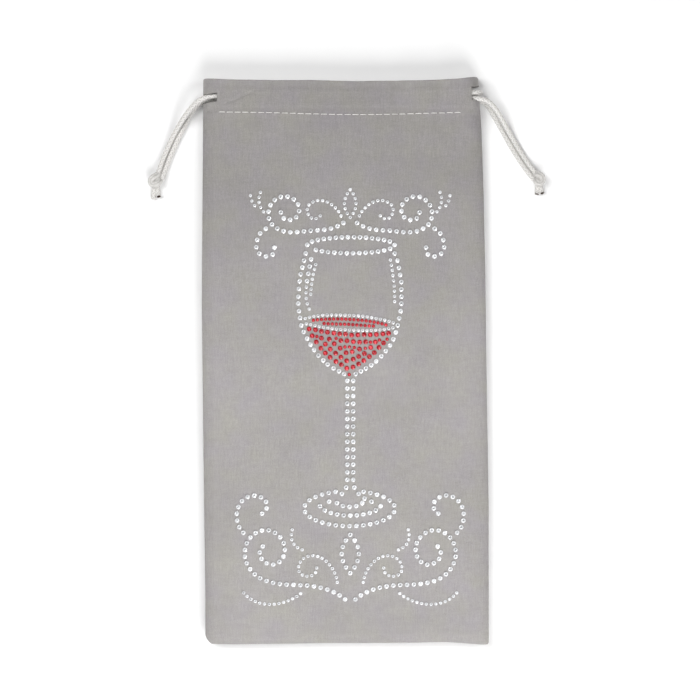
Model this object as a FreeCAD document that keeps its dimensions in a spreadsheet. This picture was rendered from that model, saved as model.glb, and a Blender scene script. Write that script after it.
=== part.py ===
import FreeCAD, Part
import math
import os
import Sketcher

# Drawstring gift bag for one wine bottle, lying flat on its back.
# X runs across the bag, +Y from the bottom seam to the mouth, +Z up out of the decorated front.
# The origin is on the floor under the middle of the bag. All lengths are in millimetres.

V = FreeCAD.Vector
doc = FreeCAD.newDocument("WineGiftBag")

# ---------------------------------------------------------------- driving dimensions

SIZES = {
    # the bag lying flat
    "bag_length": 330.0,
    "half_width": 83.7,
    "left_at_bottom": 82.2,
    "left_at_mouth": 83.3,
    "right_at_mouth": 78.2,
    "cloth": 0.9,
    # heights of the side seam and of the outside of each zone, all from the seam's level
    "seam_level": 5.5,
    "seam_lip": 1.0,
    "lip_depth": 1.2,
    "lip_rise": 2.1,
    "body_rise": 5.5,
    "band_rise": 6.5,
    "tube_rise": 10.0,
    # how far in from the side edge the cloth reaches its full height
    "body_margin": 14.0,
    "band_margin": 7.0,
    "tube_margin": 3.0,
    # the rounded edge: how far in its first corner is, and how high
    "lip_nose_in": 0.6,
    "low_nose_in": 1.0,
    "body_nose_in": 1.2,
    "hem_nose_in": 0.8,
    "hem_nose_rise": 3.0,
    "band_nose_in": 0.6,
    "band_nose_rise": 3.6,
    "tube_nose_in": 0.4,
    "tube_nose_rise": 4.1,
    # how much wider than the mouth the right edge is, zone by zone
    "right_middle_extra": 0.6,
    "right_below_hem_extra": 1.4,
    "right_hem_extra": 1.0,
    "right_band_extra": 0.6,
    # how much less the inside of the edge rises than the outside, per unit of cloth
    "nose_inset_share": 0.8,
    # the cord casing: distances down from the mouth
    "hem_depth": 28.0,
    "rise_run": 12.0,
    "stitch_depth": 19.7,
    "tube_bottom": 17.0,
    "tube_upper": 5.0,
    "tube_slope": 2.5,
    "hem_left": 73.0,
    "hem_right": 70.0,
    "cord_slack": 0.5,
    # cord slots at the two side edges
    "left_slot_low": 151.8,
    "left_slot_high": 156.8,
    "right_slot_low": 152.1,
    "right_slot_high": 159.5,
    "deep_slot": 8.8,
    "shallow_slot": 4.7,
    # rounded lower corners
    "left_corner": 5.9,
    "right_corner": 1.8,
    # seam allowances and threads
    "side_allowance": 7.6,
    "bottom_allowance": 5.9,
    "allowance_gap": 2.4,
    "corner_clearance": 1.0,
    "hem_clearance": 4.0,
    "thread": 0.4,
    "stitch_pitch": 4.6,
    "stitch_length": 3.5,
    "stitch_end": 1.0,
    "stitch_shift": 1.2,
    "stitch_below": 0.6,
    "side_stitch_in": 1.6,
    "side_stitch_start": 4.0,
    "side_stitch_stop": 5.0,
    "bottom_stitch_in": 1.0,
    "bottom_stitch_end": 12.0,
    # drawcords
    "cord": 3.0,
    "front_cord_z": 12.85,
    "back_cord_z": 2.65,
    "left_exit_x": 76.0,
    "left_front_exit_y": 155.15,
    "left_back_exit_y": 153.6,
    "right_exit_x": 73.0,
    "right_front_exit_y": 153.9,
    "right_back_exit_y": 153.9,
    "left_loop_x": 74.2,
    "left_loop_y": 157.4,
    "right_loop_x": 74.6,
    "right_loop_y": 150.3,
    "tail_tuck": 3.0,
    "tail_aim": 0.9,
    # rhinestones
    "large_stone": 2.8,
    "large_stone_rise": 1.2,
    "small_stone": 2.0,
    "small_stone_rise": 0.9,
    "table_share": 0.58,
    "stone_gap": 0.05,
    "picture_x": 2.9,
    # pitches of the stones along the lines of the picture
    "line_pitch": 4.0,
    "rim_pitch": 3.6,
    "glint_pitch": 2.95,
    "surface_pitch": 2.6,
    "wine_pitch": 2.4,
    "stem_pitch": 4.46,
    "stem_half_gap": 1.75,
    "stem_top": -11.4,
    "large_scroll_pitch": 4.05,
    "small_scroll_pitch": 2.85,
}

sheet = doc.addObject("Spreadsheet::Sheet", "Sizes")
for row, (alias, value) in enumerate(SIZES.items(), start=1):
    sheet.set(f"A{row}", alias)
    sheet.set(f"B{row}", str(value))
    sheet.setAlias(f"B{row}", alias)
doc.recompute()


def size(alias):
    """The value of one driving dimension."""
    return float(sheet.get(alias))


# ---------------------------------------------------------------- sketch and solid helpers


def origin_plane(body, role):
    """One of a body's own origin planes."""
    return next(f for f in body.Origin.OriginFeatures if f.Role == role)


def section(body, name, station, corners):
    """A closed sketch across the bag at distance `station` along Y; corners are (x, z) expressions."""
    sketch = body.newObject("Sketcher::SketchObject", name)
    sketch.AttachmentSupport = [(origin_plane(body, "XZ_Plane"), "")]
    sketch.MapMode = "FlatFace"
    sketch.setExpression("AttachmentOffset.Base.z", f"-({station})")
    values = [V(sketch.evalExpression(x), sketch.evalExpression(z), 0) for x, z in corners]
    count = len(corners)
    for i in range(count):
        sketch.addGeometry(Part.LineSegment(values[i], values[(i + 1) % count]), False)
    for i in range(count):
        sketch.addConstraint(Sketcher.Constraint("Coincident", i, 2, (i + 1) % count, 1))
    for i, (x, z) in enumerate(corners):
        across = sketch.addConstraint(Sketcher.Constraint("DistanceX", -1, 1, i, 1, values[i].x))
        sketch.setExpression(f"Constraints[{across}]", x)
        upward = sketch.addConstraint(Sketcher.Constraint("DistanceY", -1, 1, i, 1, values[i].y))
        sketch.setExpression(f"Constraints[{upward}]", z)
    return sketch


def loft(body, kind, name, sections):
    """A ruled loft through sections given as (station, corners)."""
    sketches = [
        section(body, f"{name}_{i}", station, corners)
        for i, (station, corners) in enumerate(sections)
    ]
    feature = body.newObject(f"PartDesign::{kind}", name)
    feature.Profile = sketches[0]
    feature.Sections = sketches[1:]
    feature.Ruled = True
    return feature


def primitive(kind, name, **settings):
    """A Part primitive or boolean; text settings are expressions, anything else is set directly."""
    feature = doc.addObject(f"Part::{kind}", name)
    for key, value in settings.items():
        path = key.replace("_at_", ".Base.") if "_at_" in key else key
        if isinstance(value, str):
            feature.setExpression(path, value)
        else:
            setattr(feature, key, value)
    return feature


def group(label, shapes):
    """Separate solids held in one named piece."""
    feature = doc.addObject("Part::Feature", label)
    feature.Shape = Part.makeCompound(shapes)
    feature.Placement = FreeCAD.Placement()
    return feature


# ---------------------------------------------------------------- cloth: the two faces of the bag

HALF = "Sizes.bag_length / 2"


def station(y, left, right, reach, shoulder_in, shoulder_up, margin):
    """One cross-section of the shell: where it is and what its outline measures."""
    return {
        "y": y,
        "left": left,
        "right": right,
        "reach": reach,
        "shoulder_in": shoulder_in,
        "shoulder_up": shoulder_up,
        "margin": margin,
    }


def shell_stations(zone_reach):
    """The cross-sections from the bottom seam to the mouth; zone_reach gives each zone's height."""
    body, band, tube = (f"Sizes.{zone_reach[zone]}" for zone in ("body", "band", "tube"))
    low_left, low_right = "Sizes.left_at_bottom", "Sizes.half_width"
    top_left, top_right = "Sizes.left_at_mouth", "Sizes.right_at_mouth"
    wide = "Sizes.half_width"
    lip, lip_rise = "Sizes.seam_lip", "Sizes.lip_rise"
    lip_end = f"-{HALF} + Sizes.lip_depth"
    full = f"-{HALF} + Sizes.body_margin"
    raw_edge = f"{HALF} - Sizes.hem_depth"
    stitches = f"{HALF} - Sizes.stitch_depth"
    tube_low = f"{HALF} - Sizes.tube_bottom"
    tube_high = f"{HALF} - Sizes.tube_upper"
    header = f"{HALF} - Sizes.tube_upper + Sizes.tube_slope"
    middle = f"({wide} + {top_right}) / 2 + Sizes.right_middle_extra"
    below_hem = f"{top_right} + Sizes.right_below_hem_extra"
    at_hem = f"{top_right} + Sizes.right_hem_extra"
    at_band = f"{top_right} + Sizes.right_band_extra"
    lip_nose = ("Sizes.lip_nose_in", f"{lip} / 2", "Sizes.band_margin")
    low_nose = ("Sizes.low_nose_in", f"{lip_rise} / 2", "Sizes.band_margin")
    body_nose = ("Sizes.body_nose_in", lip_rise, "Sizes.body_margin")
    hem_nose = ("Sizes.hem_nose_in", "Sizes.hem_nose_rise", "Sizes.band_margin")
    band_nose = ("Sizes.band_nose_in", "Sizes.band_nose_rise", "Sizes.band_margin")
    tube_nose = ("Sizes.tube_nose_in", "Sizes.tube_nose_rise", "Sizes.tube_margin")
    return [
        station(f"-{HALF}", low_left, low_right, lip, *lip_nose),
        station(lip_end, low_left, low_right, lip_rise, *low_nose),
        station(full, low_left, low_right, body, *body_nose),
        station("0", wide, middle, body, *body_nose),
        station(f"{raw_edge} - Sizes.rise_run", wide, below_hem, body, *body_nose),
        station(raw_edge, top_left, at_hem, band, *hem_nose),
        station(stitches, top_left, at_band, band, *band_nose),
        station(tube_low, top_left, top_right, tube, *tube_nose),
        station(tube_high, top_left, top_right, tube, *tube_nose),
        station(header, top_left, top_right, band, *band_nose),
        station(HALF, top_left, top_right, band, *band_nose),
    ]


def shell_corners(place, side, inset):
    """Six corners of a shell section, moved in by `inset`; side is + for the front and - for the back."""
    left, right = f"({place['left']} - {inset})", f"({place['right']} - {inset})"
    reach = f"({place['reach']} - {inset})"
    shoulder = f"({place['shoulder_up']} - Sizes.nose_inset_share * {inset})"
    inward, margin = place["shoulder_in"], place["margin"]
    seam = "Sizes.seam_level"
    return [
        (f"-{left}", seam),
        (f"-{left} + {inward}", f"{seam} {side} {shoulder}"),
        (f"-{left} + {margin}", f"{seam} {side} {reach}"),
        (f"{right} - {margin}", f"{seam} {side} {reach}"),
        (f"{right} - {inward}", f"{seam} {side} {shoulder}"),
        (right, seam),
    ]


def cloth_shell(name, side, zone_reach):
    """One face of the bag: full outside, less the hollow that runs out through the mouth."""
    body = doc.addObject("PartDesign::Body", f"{name}_cloth")
    places = shell_stations(zone_reach)
    outside = [(p["y"], shell_corners(p, side, "0")) for p in places]
    hollow = [(p["y"], shell_corners(p, side, "Sizes.cloth")) for p in places[1:]]
    hollow.append((f"{HALF} + 1", hollow[-1][1]))
    loft(body, "AdditiveLoft", f"{name}_outside", outside)
    loft(body, "SubtractiveLoft", f"{name}_hollow", hollow)
    return body


def slot_cutter(name, side, depth):
    """The block that opens one side edge for the cords."""
    edge = "Sizes.left_at_mouth" if side == "left" else "Sizes.right_at_mouth"
    low, high = f"Sizes.{side}_slot_low", f"Sizes.{side}_slot_high"
    start = f"-{edge} - 2" if side == "left" else f"{edge} - Sizes.{depth}"
    return primitive(
        "Box",
        name,
        Length=f"Sizes.{depth} + 2",
        Width=f"{high} - {low}",
        Height="Sizes.seam_level + Sizes.tube_rise + 2",
        Placement_at_x=start,
        Placement_at_y=low,
        Placement_at_z="-1",
    )


def corner_cutter(name, side):
    """What rounds one lower corner: a block less the round that stays."""
    radius = f"Sizes.{side}_corner"
    tall = "Sizes.seam_level * 2 + 2"
    edge = "-Sizes.left_at_bottom" if side == "left" else "Sizes.half_width"
    inward = f"{edge} + {radius}" if side == "left" else f"{edge} - {radius}"
    block_start = f"{edge} - 2" if side == "left" else f"{edge} - {radius}"
    block = primitive(
        "Box",
        f"{name}_block",
        Length=f"{radius} + 2",
        Width=f"{radius} + 2",
        Height=tall,
        Placement_at_x=block_start,
        Placement_at_y=f"-{HALF} - 2",
        Placement_at_z="-1",
    )
    round_part = primitive(
        "Cylinder",
        f"{name}_round",
        Radius=radius,
        Height=tall,
        Placement_at_x=inward,
        Placement_at_y=f"-{HALF} + {radius}",
        Placement_at_z="-1",
    )
    return primitive("Cut", name, Base=block, Tool=round_part)


def bag_face(label, side, zone_reach, slot_depths):
    """A finished face of the bag, slotted at both sides and rounded at its lower corners."""
    cutters = [
        slot_cutter(f"{label}_left_slot", "left", slot_depths[0]),
        slot_cutter(f"{label}_right_slot", "right", slot_depths[1]),
        corner_cutter(f"{label}_left_corner", "left"),
        corner_cutter(f"{label}_right_corner", "right"),
    ]
    tools = primitive("MultiFuse", f"{label}_openings", Shapes=cutters)
    return primitive("Cut", label, Base=cloth_shell(label, side, zone_reach), Tool=tools)


FRONT_REACH = {"body": "body_rise", "band": "band_rise", "tube": "tube_rise"}
BACK_REACH = {"body": "seam_level", "band": "seam_level", "tube": "seam_level"}
front_panel = bag_face("front_panel", "+", FRONT_REACH, ("deep_slot", "shallow_slot"))
back_panel = bag_face("back_panel", "-", BACK_REACH, ("deep_slot", "deep_slot"))


# ---------------------------------------------------------------- cloth: turned-in hems and seam allowances

BAND_TOP = "Sizes.seam_level + Sizes.band_rise"
FRONT_HEM_TOP = f"{BAND_TOP} - Sizes.cloth"


def front_hem():
    """The front hem lies flat inside the casing, below the cords."""
    return primitive(
        "Box",
        "front_casing_hem",
        Length="Sizes.hem_left + Sizes.hem_right",
        Width="Sizes.hem_depth",
        Height="Sizes.cloth",
        Placement_at_x="-Sizes.hem_left",
        Placement_at_y=f"{HALF} - Sizes.hem_depth",
        Placement_at_z=f"{FRONT_HEM_TOP} - Sizes.cloth",
    )


def back_hem():
    """The back hem humps over the cords, because the back panel under them lies on the floor."""
    flat = "Sizes.cloth"
    hump = "Sizes.cloth + Sizes.cord + Sizes.cord_slack"
    profile = [
        (f"{HALF} - Sizes.hem_depth", flat),
        (f"{HALF} - Sizes.stitch_depth", flat),
        (f"{HALF} - Sizes.tube_bottom", hump),
        (f"{HALF} - Sizes.tube_upper", hump),
        (f"{HALF} - Sizes.tube_upper + Sizes.tube_slope", flat),
        (HALF, flat),
    ]
    body = doc.addObject("PartDesign::Body", "back_casing_hem")
    strips = []
    for y, low in profile:
        high = f"{low} + Sizes.cloth"
        corners = [
            ("-Sizes.hem_left", low),
            ("Sizes.hem_right", low),
            ("Sizes.hem_right", high),
            ("-Sizes.hem_left", high),
        ]
        strips.append((y, corners))
    loft(body, "AdditiveLoft", "back_hem_strip", strips)
    return body


def left_allowance():
    """The two cloth edges of the side seam, laid flat inside it."""
    body = doc.addObject("PartDesign::Body", "left_seam_allowance")
    low, high = "Sizes.seam_level - Sizes.cloth", "Sizes.seam_level + Sizes.cloth"
    ends = [
        (f"-{HALF} + Sizes.bottom_allowance + Sizes.corner_clearance", "Sizes.left_at_bottom"),
        ("0", "Sizes.half_width"),
        (f"{HALF} - Sizes.hem_depth - Sizes.hem_clearance", "Sizes.half_width"),
    ]
    strips = []
    for y, edge in ends:
        outer, inner = f"-{edge} + Sizes.allowance_gap", f"-{edge} + Sizes.side_allowance"
        strips.append((y, [(outer, low), (inner, low), (inner, high), (outer, high)]))
    loft(body, "AdditiveLoft", "left_allowance_strip", strips)
    return body


def bottom_allowance():
    """The two cloth edges of the bottom seam, laid flat inside it."""
    return primitive(
        "Box",
        "bottom_seam_allowance",
        Length="Sizes.left_at_bottom + Sizes.half_width - 2 * Sizes.side_allowance",
        Width="Sizes.bottom_allowance - Sizes.allowance_gap",
        Height="2 * Sizes.cloth",
        Placement_at_x="-Sizes.left_at_bottom + Sizes.side_allowance",
        Placement_at_y=f"-{HALF} + Sizes.allowance_gap",
        Placement_at_z="Sizes.seam_level - Sizes.cloth",
    )


front_hem()
back_hem()
left_allowance()
bottom_allowance()


# ---------------------------------------------------------------- sewing threads


def stitch_row(start, end, height):
    """Even stitches from start to end, each a short thread lying at the given height."""
    run = V(*end) - V(*start)
    pitch, length = size("stitch_pitch"), size("stitch_length")
    direction = V(run.x, run.y, 0).normalize()
    count = int((run.Length - length) / pitch) + 1
    return [
        Part.makeCylinder(
            size("thread") / 2,
            length,
            V(*start, height) + direction * (pitch * i),
            direction,
        )
        for i in range(count)
    ]


def threads():
    """Casing stitches on the face and inside, and the seam stitches on the allowances."""
    half, radius = size("bag_length") / 2, size("thread") / 2
    cloth, end, shift = size("cloth"), size("stitch_end"), size("stitch_shift")
    stitch_y = half - size("stitch_depth") - size("stitch_below")
    start, stop = -size("hem_left") - end, size("hem_right") - end
    face = (start, stitch_y), (stop, stitch_y)
    inside = (start + shift, stitch_y), (stop + shift, stitch_y)
    band_top = size("seam_level") + size("band_rise")
    face_row = stitch_row(*face, band_top + radius)
    hem_row = stitch_row(*inside, band_top - 2 * cloth - radius)
    group("front_casing_stitches", face_row + hem_row)
    group("back_casing_stitches", stitch_row(*inside, 2 * cloth + radius))
    allowance_top = size("seam_level") + cloth + radius
    seam_x = -size("half_width") + size("allowance_gap") + size("side_stitch_in")
    seam_stop = half - size("hem_depth") - size("side_stitch_stop")
    left_ends = (seam_x, size("side_stitch_start")), (seam_x, seam_stop)
    group("left_seam_stitches", stitch_row(*left_ends, allowance_top))
    seam_y = -half + size("allowance_gap") + size("bottom_stitch_in")
    reach = size("half_width") - size("bottom_stitch_end")
    group("bottom_seam_stitches", stitch_row((-reach, seam_y), (reach, seam_y), allowance_top))


threads()


# ---------------------------------------------------------------- drawcords


def held_loop(label, side):
    """The stretch of a drawcord inside the casing: along the front, round the far side and back."""
    mirror = 1 if side == "left" else -1
    exit_x, turn_x = -mirror * size(f"{side}_exit_x"), mirror * size(f"{side}_loop_x")
    high, low = V(0, 0, size("front_cord_z")), V(0, 0, size("back_cord_z"))
    front = V(exit_x, size(f"{side}_front_exit_y"), 0) + high
    back = V(exit_x, size(f"{side}_back_exit_y"), 0) + low
    turn = V(turn_x, size(f"{side}_loop_y"), 0)
    radius = (high - low).z / 2
    along = (turn + high - front).normalize()
    top = Part.LineSegment(front, turn + high)
    bend = Part.Arc(turn + high, turn + along * radius + (high + low) / 2, turn + low)
    bottom = Part.LineSegment(turn + low, back)
    feature = doc.addObject("Part::Feature", label)
    feature.Shape = swept([top.toShape(), bend.toShape(), bottom.toShape()], label)
    return feature


def swept(edges, label):
    """A round cord swept along tangent edges, checked against its section times its length."""
    path = Part.Wire(edges)
    start = edges[0].valueAt(edges[0].FirstParameter)
    heading = edges[0].tangentAt(edges[0].FirstParameter)
    ring = Part.Wire([Part.Circle(start, heading, size("cord") / 2).toShape()])
    solid = path.makePipeShell([ring], True, True)
    expected = math.pi * size("cord") ** 2 / 4 * path.Length
    share = solid.Volume / expected
    print(f"{label}: length {path.Length:.1f}, volume over section x length {share:.4f}")
    return solid


ARC_SHARE = 0.45  # how much of the shorter run beside it each bend takes


def free_strand(label, route):
    """A free stretch of cord: straight runs joined by tangent arcs, as large as the runs allow."""
    points = [V(*p) for p in route]
    edges, radii = [], []
    here = points[0]
    for before, corner, after in zip(points, points[1:], points[2:]):
        incoming, outgoing = corner - before, after - corner
        reach = ARC_SHARE * min(incoming.Length, outgoing.Length)
        turn = incoming.getAngle(outgoing)
        radii.append(reach / math.tan(turn / 2))
        enter = corner - incoming.normalize() * reach
        leave = corner + outgoing.normalize() * reach
        toward = (enter + leave) / 2 - corner
        to_centre = math.hypot(radii[-1], reach)
        middle = corner + toward.normalize() * (to_centre - radii[-1])
        edges.append(Part.LineSegment(here, enter).toShape())
        edges.append(Part.Arc(enter, middle, leave).toShape())
        here = leave
    edges.append(Part.LineSegment(here, points[-1]).toShape())
    feature = doc.addObject("Part::Feature", label)
    feature.Shape = swept(edges, label)
    print(f"{label}: radii " + ", ".join(f"{r:.1f}" for r in radii))
    return feature


# Each cord leaves the casing by its own slot and drops to the floor beside the bag.
STRAND_ROUTES = {
    "left_cord_front_strand": [
        (-76.0, 155.15, 12.85),
        (-83.2, 154.7, 12.85),
        (-90.2, 149.0, 9.6),
        (-96.4, 141.0, 5.2),
        (-101.8, 131.6, 2.2),
        (-106.4, 121.4, 1.7),
        (-109.6, 112.4, 2.3),
        (-111.2, 107.6, 3.4),
    ],
    "left_cord_back_strand": [
        (-76.0, 153.6, 2.65),
        (-84.8, 153.75, 2.65),
        (-89.9, 147.2, 1.8),
        (-94.2, 139.8, 1.6),
        (-98.9, 130.2, 1.7),
        (-103.3, 120.1, 1.6),
        (-106.5, 111.4, 2.0),
        (-108.0, 106.9, 3.0),
    ],
    "right_cord_front_strand": [
        (73.0, 153.9, 12.85),
        (81.0, 154.1, 12.85),
        (87.4, 149.2, 10.2),
        (93.0, 140.4, 5.6),
        (98.4, 130.8, 2.3),
        (104.2, 121.4, 1.7),
        (109.8, 113.4, 2.3),
        (113.6, 108.6, 3.4),
    ],
    "right_cord_back_strand": [
        (73.0, 153.9, 2.65),
        (81.0, 154.1, 2.65),
        (85.6, 147.8, 1.8),
        (90.5, 139.1, 1.6),
        (95.7, 129.5, 1.7),
        (101.4, 119.8, 1.6),
        (107.1, 111.7, 2.0),
        (110.9, 106.9, 3.0),
    ],
}

KNOTS = {
    "left": {
        "at": (-111.7, 105.7, 3.7),
        "radii": (3.7, 4.4, 4.2),
        "tails": ((-113.2, 95.6), (-109.7, 96.6)),
    },
    "right": {
        "at": (114.0, 106.7, 3.7),
        "radii": (3.7, 3.7, 4.7),
        "tails": ((112.6, 98.4), (116.0, 98.9)),
    },
}


def knot(side):
    """The overhand knot tied in both strands; its axes are height, width and length."""
    place = KNOTS[side]["at"]
    height, width, length = KNOTS[side]["radii"]
    feature = doc.addObject("Part::Ellipsoid", f"{side}_cord_knot")
    feature.Radius1, feature.Radius2, feature.Radius3 = height, width, length
    feature.Angle1, feature.Angle2, feature.Angle3 = -90, 90, 360
    feature.Placement = FreeCAD.Placement(V(*place), FreeCAD.Rotation())
    return feature


def tails(side):
    """The two cut ends of a cord beyond its knot, lying on the floor."""
    centre = V(*KNOTS[side]["at"])
    pieces = []
    for x, y in KNOTS[side]["tails"]:
        end = V(x, y, size("cord") / 2)
        aim = V(centre.x + (x - centre.x) * size("tail_aim"), centre.y, end.z)
        direction = aim - end
        length = direction.Length - size("tail_tuck")
        pieces.append(Part.makeCylinder(size("cord") / 2, length, end, direction))
    return group(f"{side}_cord_tails", pieces)


for cord_side in ("left", "right"):
    held_loop(f"{cord_side}_cord_casing_loop", cord_side)
    knot(cord_side)
    tails(cord_side)
for strand_label, strand_route in STRAND_ROUTES.items():
    free_strand(strand_label, strand_route)


# ---------------------------------------------------------------- rhinestone picture

PICTURE_X = size("picture_x")
LARGE, SMALL = size("large_stone"), size("small_stone")
taken = []


def curve_through(points):
    """A smooth edge through (x, y) points."""
    curve = Part.BSplineCurve()
    curve.interpolate([V(x, y, 0) for x, y in points])
    return curve.toShape()


def ellipse_edge(centre, radii, start, end):
    """Part of an ellipse, from one angle to another in degrees."""
    whole = Part.Ellipse(V(0, 0, 0), *radii)
    edge = Part.ArcOfEllipse(whole, math.radians(start), math.radians(end)).toShape()
    edge.translate(V(*centre, 0))
    return edge


def spots_along(edge, pitch):
    """Evenly spaced points along an edge, both ends included."""
    count = max(2, round(edge.Length / pitch) + 1)
    return [(p.x, p.y) for p in edge.discretize(Number=count)]


def free_spots(spots, diameter):
    """The spots that no earlier stone covers, which are then taken."""
    kept, gap = [], size("stone_gap")
    for x, y in spots:
        if all(math.hypot(x - a, y - b) >= (diameter + d) / 2 + gap for a, b, d in taken):
            taken.append((x, y, diameter))
            kept.append((x, y))
    return kept


def stone(spot, diameter):
    """One flat-backed stone glued on the front: a girdle, a sloping crown and a flat table."""
    rise = size("large_stone_rise") if diameter == LARGE else size("small_stone_rise")
    top = size("seam_level") + size("body_rise")
    return Part.makeCone(diameter / 2, diameter / 2 * size("table_share"), rise, V(*spot, top))


def stone_group(label, large=(), small=()):
    """A named part of the picture, made of separate stones."""
    stones = [stone(s, LARGE) for s in free_spots(large, LARGE)]
    stones += [stone(s, SMALL) for s in free_spots(small, SMALL)]
    print(f"{label}: {len(stones)} stones")
    return group(label, stones)


def mirrored(points):
    """The same (offset, y) points on both sides of the centre line."""
    right = [(PICTURE_X + x, y) for x, y in points]
    left = [(PICTURE_X - x, y) for x, y in points]
    return left, right


# the bowl's two sides, stone by stone from the rim down to the tip above the stem
BOWL_LEFT = [
    (-23.2, 63.2), (-24.2, 59.0), (-25.2, 55.0), (-26.2, 51.0), (-26.7, 46.9), (-27.2, 42.4), (-27.5, 37.8),
    (-27.5, 33.8), (-27.1, 29.4), (-26.5, 25.4), (-25.8, 21.0), (-24.4, 17.2), (-22.4, 13.3), (-20.4, 9.8),
    (-18.3, 6.7), (-15.7, 3.4), (-12.9, 0.6), (-10.3, -1.8), (-6.9, -4.1), (-3.6, -5.8), (-0.7, -7.4),
]
BOWL_RIGHT = [
    (28.9, 63.1), (30.5, 59.0), (31.4, 54.7), (32.1, 50.6), (32.8, 46.4), (32.8, 42.1), (32.9, 37.9),
    (32.8, 33.8), (32.4, 29.4), (31.6, 25.2), (30.7, 21.1), (29.6, 17.0), (28.1, 13.0), (26.2, 9.3),
    (23.7, 6.1), (21.1, 3.0), (18.1, 0.0), (15.2, -2.2), (12.1, -4.1), (9.2, -5.8), (6.1, -7.4),
]
GLINTS = [
    [(-22.8, 43.4), (-23.0, 39.0), (-22.4, 34.4), (-21.1, 30.6)],
    [(-17.3, 56.7), (-19.2, 48.5), (-20.2, 39.3)],
    [(26.4, 59.3), (28.2, 48.0), (28.9, 35.0)],
]
BRIGHT_LINE = [(-20.0, 59.8), (-21.4, 52.6), (-22.4, 47.0)]
# ellipses of the glass: (centre's offset, y), (half width, half height), start and end in degrees
RIM = [((0.4, 68.0), (25.6, 4.7), 2, 178), ((0.4, 68.0), (25.6, 4.7), 200, 334)]
FOOT = [
    ((-0.4, -86.2), (26.6, 10.3), 108, 432),
    ((0.0, -83.4), (18.2, 6.9), 192, 348),
    ((-0.4, -81.4), (8.2, 3.8), 205, 335),
]
STEM_FLARE = [(2.4, -73.9), (4.9, -77.6), (8.8, -80.6), (12.4, -82.2)]
STEM_ROWS = 14


def ellipse_spots(ellipses, pitch):
    """Points along several part ellipses."""
    spots = []
    for (across, y), radii, start, end in ellipses:
        spots += spots_along(ellipse_edge((PICTURE_X + across, y), radii, start, end), pitch)
    return spots


def glass_stones():
    """The glass: rim, bowl, highlights, stem and foot in clear stones."""
    stone_group("rim_stones", large=ellipse_spots(RIM, size("rim_pitch")))
    stone_group("bowl_stones", large=BOWL_LEFT + BOWL_RIGHT)

    glints = []
    for points in GLINTS:
        glints += spots_along(curve_through(points), size("glint_pitch"))
    bright = spots_along(curve_through(BRIGHT_LINE), size("line_pitch"))
    stone_group("highlight_stones", large=bright, small=glints)

    stem = [
        (PICTURE_X + side * size("stem_half_gap"), size("stem_top") - size("stem_pitch") * row)
        for row in range(STEM_ROWS)
        for side in (-1, 1)
    ]
    stone_group("stem_stones", large=stem)

    foot = ellipse_spots(FOOT, size("line_pitch"))
    for side_points in mirrored(STEM_FLARE):
        foot += spots_along(curve_through(side_points), size("line_pitch"))
    stone_group("foot_stones", large=foot)


# the wine's surface and the red stones under it, as (x, y)
SURFACE_BACK = [
    (-23.5, 25.1), (-18.6, 26.3), (-10.9, 27.1), (-0.3, 27.0), (10.3, 26.4), (18.2, 25.1),
    (25.9, 23.4), (28.1, 22.6),
]
SURFACE_FRONT = [
    (-22.8, 21.9), (-17.7, 20.9), (-10.0, 19.4), (-2.3, 18.6), (5.5, 18.2), (15.6, 18.1),
    (23.0, 18.7), (27.9, 19.6),
]
TOP_ROWS = [
    [
        (-18.7, 24.0), (-9.1, 24.7), (2.8, 24.5), (12.0, 23.7), (19.6, 22.4), (23.8, 21.3),
    ],
    [
        (-12.4, 22.1), (-6.1, 21.8), (1.1, 21.6), (8.7, 21.1), (16.4, 20.6),
    ],
]
WINE_LARGE = [
    (-21.2, 18.9), (-17.5, 18.4), (-14.0, 17.5), (-10.5, 17.0), (-6.7, 16.5), (-3.3, 16.0),
    (0.1, 15.9), (3.7, 15.3), (7.3, 15.4), (11.0, 15.6), (14.6, 15.5), (18.2, 15.7),
    (22.0, 16.0), (25.3, 16.4), (-19.4, 14.9), (-14.0, 13.5), (-9.4, 12.9), (-2.6, 12.1),
    (1.0, 12.0), (4.7, 11.5), (8.4, 11.2), (11.9, 11.4), (17.6, 11.3), (22.4, 10.7),
    (-17.0, 11.3), (-11.7, 10.0), (-6.5, 10.3), (-14.3, 7.6), (-8.8, 7.1), (-3.0, 7.6),
    (8.3, 7.1), (14.9, 8.1), (19.7, 8.1), (-11.7, 4.8), (-5.7, 4.7), (0.4, 5.0), (4.0, 5.6),
    (11.2, 4.5), (17.0, 5.0), (7.8, 2.8), (-8.9, 2.3), (-2.6, 2.4), (4.6, 1.2), (14.1, 2.7),
    (0.8, 0.3), (10.8, 0.4), (-5.5, -0.1), (-2.3, -2.0), (7.8, -1.6), (0.9, -4.1), (4.5, -3.4),
]
WINE_SMALL = [
    (-16.7, 14.5), (-5.4, 13.4), (14.8, 11.2), (20.0, 12.4), (24.5, 12.9), (-0.2, 8.4),
    (2.4, 8.4), (5.3, 8.0), (11.7, 7.6), (2.3, -7.8),
]


def wine_stones():
    """The wine: a clear ring round its surface, two small red rows inside it, and the red fill."""
    ring = []
    for points in (SURFACE_BACK, SURFACE_FRONT):
        ring += spots_along(curve_through(points), size("surface_pitch"))
    stone_group("wine_surface_stones", small=ring)
    rows = []
    for points in TOP_ROWS:
        rows += spots_along(curve_through(points), size("wine_pitch"))
    stone_group("wine_top_red_stones", small=rows)
    stone_group("wine_red_stones", large=WINE_LARGE)
    stone_group("wine_filler_red_stones", small=WINE_SMALL)


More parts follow.
